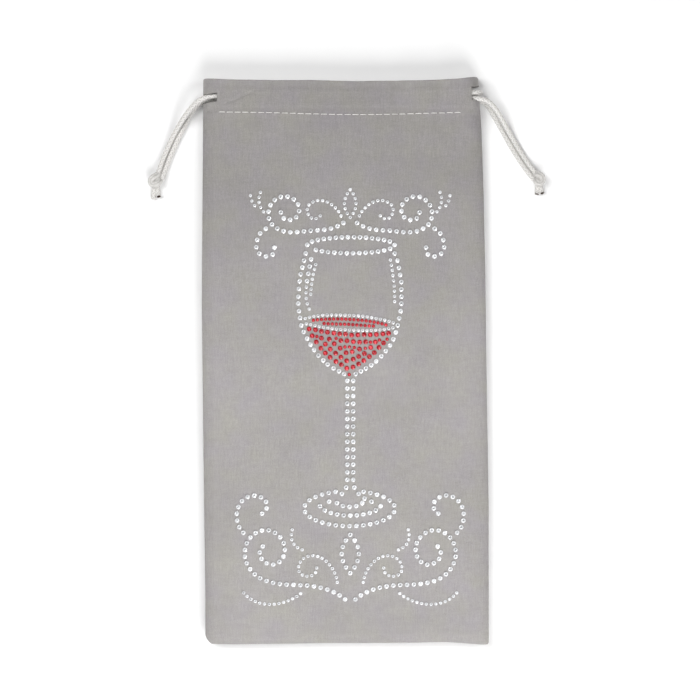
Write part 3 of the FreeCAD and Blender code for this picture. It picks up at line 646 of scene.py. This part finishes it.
def sheet_mesh(name, cells, mask, outer, inner, normal, rest):
    """A closed skin round the cloth's cells: outer face, inner face, and walls at every raw edge."""
    rows_count, cols_count = outer.shape[:2]
    index = np.arange(rows_count * cols_count).reshape(rows_count, cols_count)
    layer = rows_count * cols_count
    faces, normals = [], []
    flat_normal = normal.reshape(-1, 3)
    flat_outer, flat_inner = outer.reshape(-1, 3), inner.reshape(-1, 3)
    chosen = np.zeros_like(mask)
    chosen[:, cells] = mask[:, cells]
    where_j, where_i = np.nonzero(chosen)
    for j, i in zip(where_j, where_i):
        a, b, c, d = index[j, i], index[j, i + 1], index[j + 1, i + 1], index[j + 1, i]
        faces.append((a, b, c, d))
        normals.extend(flat_normal[[a, b, c, d]])
        faces.append((d + layer, c + layer, b + layer, a + layer))
        normals.extend(-flat_normal[[d, c, b, a]])
        for p, q, dj, di in ((a, b, -1, 0), (b, c, 0, 1), (c, d, 1, 0), (d, a, 0, -1)):
            nj, ni = j + dj, i + di
            inside = 0 <= nj < mask.shape[0] and 0 <= ni < mask.shape[1]
            if inside and chosen[nj, ni]:
                continue
            faces.append((q, p, p + layer, q + layer))
            wall = np.cross(flat_outer[p] - flat_outer[q], flat_inner[p] - flat_outer[q])
            wall = wall / (np.linalg.norm(wall) + 1e-12)
            normals.extend([wall] * 4)
    used = np.unique(np.array([v for f in faces for v in f]))
    renumber = np.full(2 * layer, -1)
    renumber[used] = np.arange(len(used))
    points = np.concatenate([flat_outer, flat_inner])[used]
    place_of = np.concatenate([rest.reshape(-1, 3)] * 2)[used] * MM
    faces = [tuple(int(v) for v in renumber[list(f)]) for f in faces]
    return mesh_object(name, points, faces, cloth_look, normals, {"rest_place": place_of})


cloth_right, cloth_left = cloth_pieces()

# ---------------- cloth height under the stones and threads


def front_surface(x, y):
    """Height of the front's outside at one place."""
    x, y = np.atleast_1d(np.asarray(x, float)), np.atleast_1d(np.asarray(y, float))
    half = np.where(x > 0, 1, -1)
    inward = np.where(x > 0, right_edge(y), left_edge(y)) - CLOTH / 2 - np.abs(x)
    return panel_height(1, half, x, y, inward) + CLOTH / 2


# ---------------- rhinestones

TABLE, BREAK = 0.46, 0.76  # radii of the table and of the star facets' tips, as shares
STONE_SINK = 0.12  # how far a stone's back is below the cloth's surface


def cut_stone(centre, radius, rise, spin, tilt):
    """A flat-backed brilliant: table, 8 star facets, 8 kites, 16 girdle facets and a low girdle."""
    eight = np.arange(8) * math.pi / 4 + spin
    sixteen = np.arange(16) * math.pi / 8 + spin

    def ring(r, z, angles):
        return np.stack([r * np.cos(angles), r * np.sin(angles), z + 0 * angles], 1)

    points = np.concatenate(
        [
            ring(radius * TABLE, rise, eight),
            ring(radius * BREAK, rise * 0.80, eight + math.pi / 8),
            ring(radius, rise * 0.55, sixteen),
            ring(radius * 0.96, 0.0, sixteen),
        ]
    )
    points[:, 2] += points[:, 0] * tilt[0] + points[:, 1] * tilt[1]
    # painted reflection: each face gets a share between the table's colour (0) and the facets' colour (1), so
    # the kinds of facet differ in brightness
    faces, cuts = [tuple(range(8))], [0.0]
    for k in range(8):
        table, next_table = k, (k + 1) % 8
        mid, last_mid = 8 + k, 8 + (k - 1) % 8
        girdle = 16 + 2 * k
        half_girdle, next_girdle = girdle + 1, 16 + (2 * k + 2) % 16
        faces += [
            (table, mid, next_table),
            (table, last_mid, girdle, mid),
            (mid, girdle, half_girdle),
            (mid, half_girdle, next_girdle),
        ]
        cuts += [0.65, 1.0, 0.8, 0.85]
    for k in range(16):
        after = (k + 1) % 16
        faces.append((16 + k, 32 + k, 32 + after, 16 + after))
        cuts.append(0.3)
    faces.append(tuple(range(47, 31, -1)))
    cuts.append(0.3)
    return points + centre, faces, cuts


def stone_piece(cad_node, look, draw):
    """Every stone of a CAD node, cut, and set on the cloth where the node has it."""
    parts, cuts = [], []
    for low, high in islands(cad_node):
        middle = (low + high) / 2
        radius = (high[0] - low[0]) / 2
        z = float(front_surface(middle[0], middle[1])[0]) - STONE_SINK
        rise = (high[2] - low[2]) * 0.85 + STONE_SINK
        spin = draw.uniform(0, math.pi / 4)
        tilt = draw.normal(0, 0.05, 2)
        *part, own_cuts = cut_stone(np.array([middle[0], middle[1], z]), radius, rise, spin, tilt)
        parts.append(part)
        cuts += own_cuts
    points, faces = joined(parts)
    obj = mesh_object(cad_node.replace("_stones", "_crystals"), points, faces, look)
    layer = obj.data.attributes.new("cut", "FLOAT", "FACE")
    layer.data.foreach_set("value", np.array(cuts, np.float32))
    obj.data.polygons.foreach_set("use_smooth", [False] * len(faces))
    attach(obj, "root")
    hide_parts(cad_node)
    return obj


stone_draw = np.random.default_rng(21)
CLEAR_NODES = ["rim", "bowl", "highlight", "stem", "foot", "wine_surface", "upper_scroll", "lower_scroll"]
RED_NODES = ["wine_top_red", "wine_red", "wine_filler_red"]
for label in CLEAR_NODES:
    stone_piece(f"{label}_stones", clear_look, stone_draw)
for label in RED_NODES:
    stone_piece(f"{label}_stones", red_look, stone_draw)

# ---------------- sewing threads


STITCH_LIFT, STITCH_REACH = 0.24, 0.02  # above the cloth, and past each end
PLY_OFFSET, PLY_RADIUS, TWIST_LENGTH = 0.10, 0.135, 1.3


def thread_stitch(start, end, up, sink):
    """One stitch of two twisted plies, arched between two places on the cloth's surface."""
    start, end, up = (np.array(v, float) for v in (start, end, up))
    length = np.linalg.norm(end - start)
    along = (end - start) / length
    side = np.cross(along, up)
    steps, around = 26, 8
    t = np.linspace(0, 1, steps)
    near_end = np.clip(np.abs(2 * t - 1) * 1.25 - 0.25, 0, 1) ** 2.2
    lift = STITCH_LIFT - (sink + STITCH_LIFT) * near_end
    run = np.outer(t, along * (length + 2 * STITCH_REACH))
    middle = start - along * STITCH_REACH + run + np.outer(lift, up)
    points, faces = [], []
    for ply in range(2):
        twist = 2 * math.pi * (t * length / TWIST_LENGTH + ply / 2)
        centre = middle + PLY_OFFSET * (np.outer(np.cos(twist), side) + np.outer(np.sin(twist), up))
        angles = np.arange(around) * 2 * math.pi / around
        ring = PLY_RADIUS * (np.outer(np.cos(angles), side) + np.outer(np.sin(angles), up))
        first = ply * steps * around
        points.append((centre[:, None, :] + ring[None, :, :]).reshape(-1, 3))
        for s in range(steps - 1):
            for k in range(around):
                a, b = first + s * around + k, first + s * around + (k + 1) % around
                faces.append((a, a + around, b + around, b))
        faces.append(tuple(first + k for k in range(around)))
        faces.append(tuple(first + (steps - 1) * around + k for k in reversed(range(around))))
    return np.concatenate(points), faces


def thread_piece(name, cad_node, stitches):
    """Several stitches in one piece."""
    points, faces = joined([thread_stitch(*stitch) for stitch in stitches])
    obj = mesh_object(name, points, faces, thread_look)
    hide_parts(cad_node)
    return obj


def stitch_places(cad_node, surface, up, sink=0.3, dip=None):
    """Stitches where a CAD node has them, laid on the given surface."""
    places = []
    for low, high in islands(cad_node):
        middle = (low + high) / 2
        if dip is not None:
            middle[1] += dip(middle[0])
        if high[0] - low[0] > high[1] - low[1]:
            ends = (low[0], middle[1]), (high[0], middle[1])
        else:
            ends = (middle[0], low[1]), (middle[0], high[1])
        z = surface(middle)
        if z is None:
            continue
        places.append(((*ends[0], z), (*ends[1], z), up, sink))
    return places


UP, DOWN = (0, 0, 1), (0, 0, -1)
HEM_UNDERSIDE, BACK_HEM_TOP, BACK_UNDERSIDE = 10.15, 1.85, 0.52
ALLOWANCE_TOP = SEAM + 0.98


def face_row(middle):
    """Height of the front's outside, or nothing for the row inside."""
    return float(front_surface(middle[0], middle[1])[0]) + 0.18 if middle[2] > FACE_ROW_Z else None


def hem_row(middle):
    """Underside of the front hem, or nothing for the row outside."""
    return HEM_UNDERSIDE if middle[2] < FACE_ROW_Z else None


outside = stitch_places("front_casing_stitches", face_row, UP, dip=stitch_dip)
inside = stitch_places("front_casing_stitches", hem_row, DOWN)
behind = stitch_places("back_casing_stitches", lambda m: BACK_HEM_TOP, UP)
under = [((*s[:2], BACK_UNDERSIDE), (*e[:2], BACK_UNDERSIDE), DOWN, 0.2) for s, e, _, _ in behind]


def halves(stitches):
    """Left and right stitches, parted at x = 0."""
    left = [s for s in stitches if s[1][0] <= 0.01 or s[0][0] < 0 < s[1][0]]
    return left, [s for s in stitches if s[0][0] >= 0]


threads_made = {"left": [], "right": []}
for part, cad_node, stitches in (
    ("front_casing_thread", "front_casing_stitches", outside + inside),
    ("back_casing_thread", "back_casing_stitches", behind + under),
):
    for half, chosen in zip(("left", "right"), halves(stitches)):
        threads_made[half].append(thread_piece(f"{part}_{half}", cad_node, chosen))
seam_thread, bottom_thread = (
    thread_piece(f"{seam}_thread", node_name, stitch_places(node_name, lambda m: ALLOWANCE_TOP, UP))
    for seam, node_name in (("left_seam", "left_seam_stitches"), ("bottom_seam", "bottom_seam_stitches"))
)
threads_made["left"].append(seam_thread)
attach(bottom_thread, "root")

# ---------------- cords

LF_EXIT, LB_EXIT = (-0.0760, 0.15515, 0.01285), (-0.0760, 0.1536, 0.00265)
RF_EXIT, RB_EXIT = (0.0730, 0.1539, 0.01285), (0.0730, 0.1539, 0.00265)
STRAND_ROUTES = {
    "left_cord_front_strand": [
        LF_EXIT,
        (-0.0832, 0.1547, 0.01285),
        (-0.0902, 0.1490, 0.0096),
        (-0.0964, 0.1410, 0.0052),
        (-0.1018, 0.1316, 0.0022),
        (-0.1064, 0.1214, 0.0017),
        (-0.1096, 0.1124, 0.0023),
        (-0.1112, 0.1076, 0.0034),
    ],
    "left_cord_back_strand": [
        LB_EXIT,
        (-0.0848, 0.15375, 0.00265),
        (-0.0899, 0.1472, 0.0018),
        (-0.0942, 0.1398, 0.0016),
        (-0.0989, 0.1302, 0.0017),
        (-0.1033, 0.1201, 0.0016),
        (-0.1065, 0.1114, 0.0020),
        (-0.1080, 0.1069, 0.0030),
    ],
    "right_cord_front_strand": [
        RF_EXIT,
        (0.0810, 0.1541, 0.01285),
        (0.0874, 0.1492, 0.0102),
        (0.0930, 0.1404, 0.0056),
        (0.0984, 0.1308, 0.0023),
        (0.1042, 0.1214, 0.0017),
        (0.1098, 0.1134, 0.0023),
        (0.1136, 0.1086, 0.0034),
    ],
    "right_cord_back_strand": [
        RB_EXIT,
        (0.0810, 0.1541, 0.00265),
        (0.0856, 0.1478, 0.0018),
        (0.0905, 0.1391, 0.0016),
        (0.0957, 0.1295, 0.0017),
        (0.1014, 0.1198, 0.0016),
        (0.1071, 0.1117, 0.0020),
        (0.1109, 0.1069, 0.0030),
    ],
}
KNOTS = {
    "left": {"at": (-111.7, 105.7, 3.7), "tails": ((-113.2, 95.6, 0.1), (-109.8, 96.9, 1.5))},
    "right": {"at": (114.0, 106.7, 3.7), "tails": ((112.7, 98.4, 1.2), (115.9, 98.9, 1.3))},
}
LOOPS = {"left": (74.2, 157.4), "right": (-74.6, 150.3)}


def nurbs_line(name, points):
    """Points, in millimetres, along the smooth curve that a route's points control."""
    curve = bpy.data.curves.new(name, "CURVE")
    curve.dimensions = "3D"
    curve.resolution_u = 60
    spline = curve.splines.new("NURBS")
    spline.points.add(len(points) - 1)
    for point, place in zip(spline.points, points):
        point.co = (*place, 1.0)
    spline.order_u = 3
    spline.use_endpoint_u = True
    obj = bpy.data.objects.new(name, curve)
    bpy.context.scene.collection.objects.link(obj)
    bpy.context.view_layer.update()
    depsgraph = bpy.context.evaluated_depsgraph_get()
    mesh = bpy.data.meshes.new_from_object(obj.evaluated_get(depsgraph))
    line = np.array([v.co for v in mesh.vertices], float)
    bpy.data.objects.remove(obj)
    return line / MM


def carried_frames(line, up):
    """Unit tangents and two cross directions along a line, carried without twist."""
    step = np.diff(line, axis=0)
    tangent = np.concatenate([step[:1], (step[1:] + step[:-1]) / 2, step[-1:]])
    tangent /= np.linalg.norm(tangent, axis=1, keepdims=True)
    first = np.array(up, float)
    normals = np.zeros_like(line)
    for k, t in enumerate(tangent):
        first = first - t * (first @ t)
        first = first / np.linalg.norm(first)
        normals[k] = first
    return tangent, normals, np.cross(tangent, normals)


def braid(angle, run):
    """Relief, 0 to 1, of a tubular braid: two families of plaits crossing one over one."""
    plaits, pitch = 8, 1.45
    u = plaits * angle / (2 * math.pi) / 2 + run / pitch / 2
    v = plaits * angle / (2 * math.pi) / 2 - run / pitch / 2
    over = np.cos(math.pi * u) * np.cos(math.pi * v)
    first = np.abs(np.sin(math.pi * u)) ** 0.6
    second = np.abs(np.sin(math.pi * v)) ** 0.6
    lead = 0.38 * np.sign(over) * np.abs(over) ** 0.5
    return np.maximum(first * (0.62 + lead), second * (0.62 - lead))


def tube_faces(rings, around):
    """Faces of a closed-ended tube of rings."""
    faces = []
    for s in range(rings - 1):
        for k in range(around):
            a, b = s * around + k, s * around + (k + 1) % around
            faces.append((a, b, b + around, a + around))
    faces.append(tuple(reversed(range(around))))
    faces.append(tuple(range((rings - 1) * around, rings * around)))
    return faces


def fibre_places(across, run):
    """Where each point of a tube is on its unrolled skin."""
    flat = np.zeros((len(run), len(across), 3))
    flat[..., 0], flat[..., 1] = across[None, :], run[:, None]
    return flat.reshape(-1, 3)


def braided_tube(name, line, normals, binormals, run, around=40, radius=CORD / 2, depth=0.13):
    """A braided cord along a line, in millimetres, with closed ends."""
    angles = np.arange(around) * 2 * math.pi / around
    relief = braid(angles[None, :], run[:, None])
    reach = radius - depth * 0.55 + depth * relief
    wide = np.cos(angles)[None, :] * reach
    tall = np.sin(angles)[None, :] * reach
    points = line[:, None, :] + wide[..., None] * binormals[:, None, :]
    points = (points + tall[..., None] * normals[:, None, :]).reshape(-1, 3)
    attributes = {"relief": relief.reshape(-1), "fibre": fibre_places(angles * radius, run)}
    obj = mesh_object(name, points, tube_faces(len(line), around), cord_look, None, attributes)
    return obj


def casing_line(side):
    """The held stretch from the front exit, round the far side, to the back exit."""
    front = np.array(STRAND_ROUTES[f"{side}_cord_front_strand"][0]) / MM
    back = np.array(STRAND_ROUTES[f"{side}_cord_back_strand"][0]) / MM
    turn_high = np.array([*LOOPS[side], front[2]])
    turn_low = np.array([*LOOPS[side], back[2]])
    radius = (front[2] - back[2]) / 2
    along = (turn_high - front) / np.linalg.norm(turn_high - front)
    count = int(np.linalg.norm(turn_high - front) / 0.3)
    out = front + np.outer(np.linspace(0, 1, count), turn_high - front)
    angle = np.linspace(0, math.pi, 60)[1:-1]
    half_ring = np.outer(np.sin(angle), along) + np.outer(np.cos(angle), (0, 0, 1))
    bend = (turn_high + turn_low) / 2 + radius * half_ring
    home = turn_low + np.outer(np.linspace(0, 1, count), back - turn_low)
    return np.concatenate([out, bend, home])


# the line of each knot about its middle: in from the strands, round the wide lobe, across the
# front, up the narrow lobe, behind, and out to the tails
KNOT_LINES = {
    "left": [
        (1.9, 4.9, -1.0), (0.9, 3.6, 0.1), (-1.2, 2.7, 0.9), (-2.75, 0.9, 0.7), (-2.5, -1.2, 0.5),
        (-0.9, -2.0, 1.0), (1.2, -1.2, 1.6), (2.7, -0.2, 0.7), (2.5, 1.5, -0.3), (0.9, 1.6, -0.6),
        (-0.4, 0.4, -0.8), (0.2, -2.2, -1.4), (0.1, -4.6, -2.1),
    ],
    "right": [
        (-2.4, 4.2, -1.0), (-1.4, 3.3, 0.2), (0.3, 3.1, 1.0), (1.95, 1.6, 0.9), (2.0, -0.5, 0.7),
        (0.9, -2.0, 1.0), (-0.9, -1.8, 1.4), (-2.0, -0.6, 0.7), (-1.9, 1.1, -0.3), (-0.5, 1.6, -0.6),
        (0.7, 0.4, -0.8), (0.5, -2.2, -1.4), (0.4, -4.6, -2.1),
    ],
}
KNOT_THICK, KNOT_WIDE = 1.38, 0.42


def knot_piece(side):
    """The knot: both strands laid side by side through an overhand turn and pulled tight."""
    centre = np.array(KNOTS[side]["at"])
    line = nurbs_line(f"{side}_knot_line", (np.array(KNOT_LINES[side]) + centre) * MM)
    line = line[::5]
    _, normals, binormals = carried_frames(line, (0, 0, 1))
    run = running(line)
    around = 48
    angles = np.arange(around) * 2 * math.pi / around
    wide, tall = np.cos(angles), np.sin(angles)
    groove = np.exp(-((wide / 0.2) ** 2))
    across = (KNOT_THICK + KNOT_WIDE) * wide
    upward = KNOT_THICK * np.sign(tall) * np.abs(tall) ** 0.85 * (1 - 0.16 * groove)
    relief = braid(angles[None, :], run[:, None])
    swell = 1 + 0.05 * relief
    points = (
        line[:, None, :]
        + (across[None, :] * swell)[..., None] * binormals[:, None, :]
        + (upward[None, :] * swell)[..., None] * normals[:, None, :]
    )
    points[..., 2] = np.maximum(points[..., 2], 0.08)
    # painted shade: the knot is darker than the strands, and darker still along the groove between its two
    # strands
    shade = 0.70 * np.clip(relief * 0.5 + 0.5, 0, 1) * (1 - 0.45 * groove[None, :])
    fibre = fibre_places(angles * 1.5, run)
    obj = mesh_object(
        f"{side}_knot",
        points.reshape(-1, 3),
        tube_faces(len(line), around),
        cord_look,
        None,
        {"relief": shade.reshape(-1), "fibre": fibre},
    )
    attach(obj, f"{side}_drawcord")
    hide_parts(f"{side}_cord_knot")
    return obj


# rings inside a cut end, as (share of its skin's radius, distance along it); the last three are dark
CUT_RINGS = ((0.88, 0.02), (0.72, 0.0), (0.66, -0.5), (0.62, -1.3), (0.30, -1.6))
DARK_RINGS = 3


def tail_piece(side):
    """The two cut ends, hollow, with ragged rims."""
    centre = np.array(KNOTS[side]["at"])
    draw = np.random.default_rng(31 if side == "left" else 32)
    parts, shades, fibres, marks = [], [], [], []
    around = 40
    angles = np.arange(around) * 2 * math.pi / around
    for k, (x, y, lift) in enumerate(KNOTS[side]["tails"]):
        end = np.array([x, y, CORD / 2 + lift])
        start = np.array([centre[0] * 0.55 + x * 0.45, centre[1] - 1.0, 2.4])
        bow = (start + end) / 2 + np.array([0.25 * (-1) ** k, -1.0 * lift, 0.25 - 1.1 * lift])
        t = np.linspace(0, 1, 80)[:, None]
        line = (1 - t) ** 2 * start + 2 * t * (1 - t) * bow + t**2 * end
        tangent, normals, binormals = carried_frames(line, (0, 0, 1))
        run = running(line)
        relief = braid(angles[None, :], run[:, None])
        flare = 1 + 0.05 * smooth((run - run[-1] + 1.6) / 1.6)[:, None]
        reach = (CORD / 2 - 0.10 + 0.13 * relief - 0.06) * flare
        wide, tall = np.cos(angles)[None, :] * reach * 1.04, np.sin(angles)[None, :] * reach * 0.96
        skin = line[:, None, :] + wide[..., None] * binormals[:, None, :]
        skin = skin + tall[..., None] * normals[:, None, :]
        rough = draw.uniform(-0.25, 0.25, around)
        rough = (rough + np.roll(rough, 1) + np.roll(rough, 2)) / 2
        skin[-1] += rough[:, None] * tangent[-1]
        rings = [*skin] + [
            line[-1] + (skin[-1] - line[-1]) * share + tangent[-1] * back for share, back in CUT_RINGS
        ]
        parts.append((np.concatenate(rings), tube_faces(len(rings), around)))
        light_rings = len(rings) - 1 - DARK_RINGS
        marks += [0] * light_rings * around + [1] * DARK_RINGS * around + [0, 1]
        shades += [*relief] + [np.full(around, 0.55)] * len(CUT_RINGS)
        fibres.append(fibre_places(angles * 1.5, np.arange(len(rings)) * 0.1))
    points, faces = joined(parts)
    attributes = {"relief": np.concatenate(shades), "fibre": np.concatenate(fibres)}
    obj = mesh_object(f"{side}_cut_ends", points, faces, cord_look, None, attributes)
    obj.data.materials.append(end_inside_look)
    obj.data.polygons.foreach_set("material_index", marks)
    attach(obj, f"{side}_drawcord")
    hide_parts(f"{side}_cord_tails")
    return obj


def drawcord(side):
    """A whole drawcord: its strands and casing loop share one run, so the braid goes through unbroken."""
    front_name, back_name = f"{side}_cord_front_strand", f"{side}_cord_back_strand"
    front = nurbs_line(front_name, STRAND_ROUTES[front_name])
    back = nurbs_line(back_name, STRAND_ROUTES[back_name])
    loop = casing_line(side)
    whole = np.concatenate([front[::-1], loop[1:-1], back])
    _, normals, binormals = carried_frames(whole, (0, 0, 1))
    run = running(whole)
    a, b = len(front) - 1, len(front) + len(loop) - 2
    body = f"{side}_drawcord"
    knot = knot_piece(side)
    tails = tail_piece(side)
    inner = slice(a, b + 1)
    held = braided_tube(f"{side}_casing_cord", whole[inner], normals[inner], binormals[inner], run[inner], 28)
    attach(held, body)
    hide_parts(f"{side}_cord_casing_loop")
    for name, part, at in (
        (front_name, slice(0, a + 1), STRAND_ROUTES[front_name][0]),
        (back_name, slice(b, None), STRAND_ROUTES[back_name][0]),
    ):
        label = name.replace("_cord_", "_").replace("strand", "braid")
        strand = braided_tube(label, whole[part], normals[part], binormals[part], run[part])
        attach(strand, body)
        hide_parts(name)
        path = (whole[part] * MM).tolist()
        if name == front_name:
            path = path[::-1]


drawcord("left")
drawcord("right")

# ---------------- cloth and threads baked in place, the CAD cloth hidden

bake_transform(cloth_right)
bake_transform(cloth_left)
for piece in threads_made["right"]:
    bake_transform(piece)
for piece in threads_made["left"]:
    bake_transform(piece)
CLOTH_NODES = ["front_panel", "back_panel", "front_casing_hem", "back_casing_hem", "bottom_seam_allowance"]
for piece in (cloth_right, cloth_left):
    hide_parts(*CLOTH_NODES)
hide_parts("left_seam_allowance")

# ---------------- floor, light and camera

floor_mesh = bpy.data.meshes.new("floor")
floor_mesh.from_pydata([(-3, -3, 0), (3, -3, 0), (3, 3, 0), (-3, 3, 0)], [], [(0, 1, 2, 3)])
floor = bpy.data.objects.new("floor", floor_mesh)
floor_look, _, floor_shader = material("pale_floor")
set_inputs(floor_shader, Base_Color=(0.97, 0.97, 0.97, 1), Roughness=0.9, Specular_IOR_Level=0.1)
floor_mesh.materials.append(floor_look)
bpy.context.scene.collection.objects.link(floor)


def softbox(name, place, aim, size, watts, tint=(1, 1, 1)):
    """A square area light that faces a point."""
    light = bpy.data.lights.new(name, "AREA")
    light.size = size
    light.energy = watts
    light.color = tint
    obj = bpy.data.objects.new(name, light)
    obj.location = place
    obj.rotation_euler = (Vector(aim) - Vector(place)).to_track_quat("-Z", "Y").to_euler()
    bpy.context.scene.collection.objects.link(obj)


softbox("key", (-0.70, 0.45, 1.15), (0, 0, 0), 0.9, 15)
softbox("low_fill", (0.25, -0.85, 0.75), (0, -0.12, 0), 0.8, 12)
softbox("right_fill", (1.1, 0.35, 0.9), (0, 0, 0), 0.7, 5)

world = bpy.data.worlds.new("studio")
world.use_nodes = True
tree = world.node_tree
place = node(tree, "ShaderNodeTexCoord").outputs["Generated"]
parts = node(tree, "ShaderNodeSeparateXYZ")
tree.links.new(place, parts.inputs[0])
level = remap(tree, parts.outputs["Z"], 0.15, 0.95, 1.0, 0.30)
strength = math_of(tree, "MULTIPLY", level, 0.62)
tree.links.new(strength, tree.nodes["Background"].inputs["Strength"])
bpy.context.scene.world = world

camera_data = bpy.data.cameras.new("camera")
LENS, SENSOR = 150, 36
camera_data.lens = LENS
camera_data.sensor_width = SENSOR
camera = bpy.data.objects.new("camera", camera_data)
VIEW_WIDTH, AIM, FRONT_HEIGHT = 0.410, (0.00275, 0.0066), 0.011
camera.location = (*AIM, FRONT_HEIGHT + VIEW_WIDTH / 2 / (SENSOR / 2 / LENS))
camera_data.clip_end = 20
bpy.context.scene.collection.objects.link(camera)
bpy.context.scene.camera = camera
bpy.context.scene.view_settings.view_transform = "Standard"
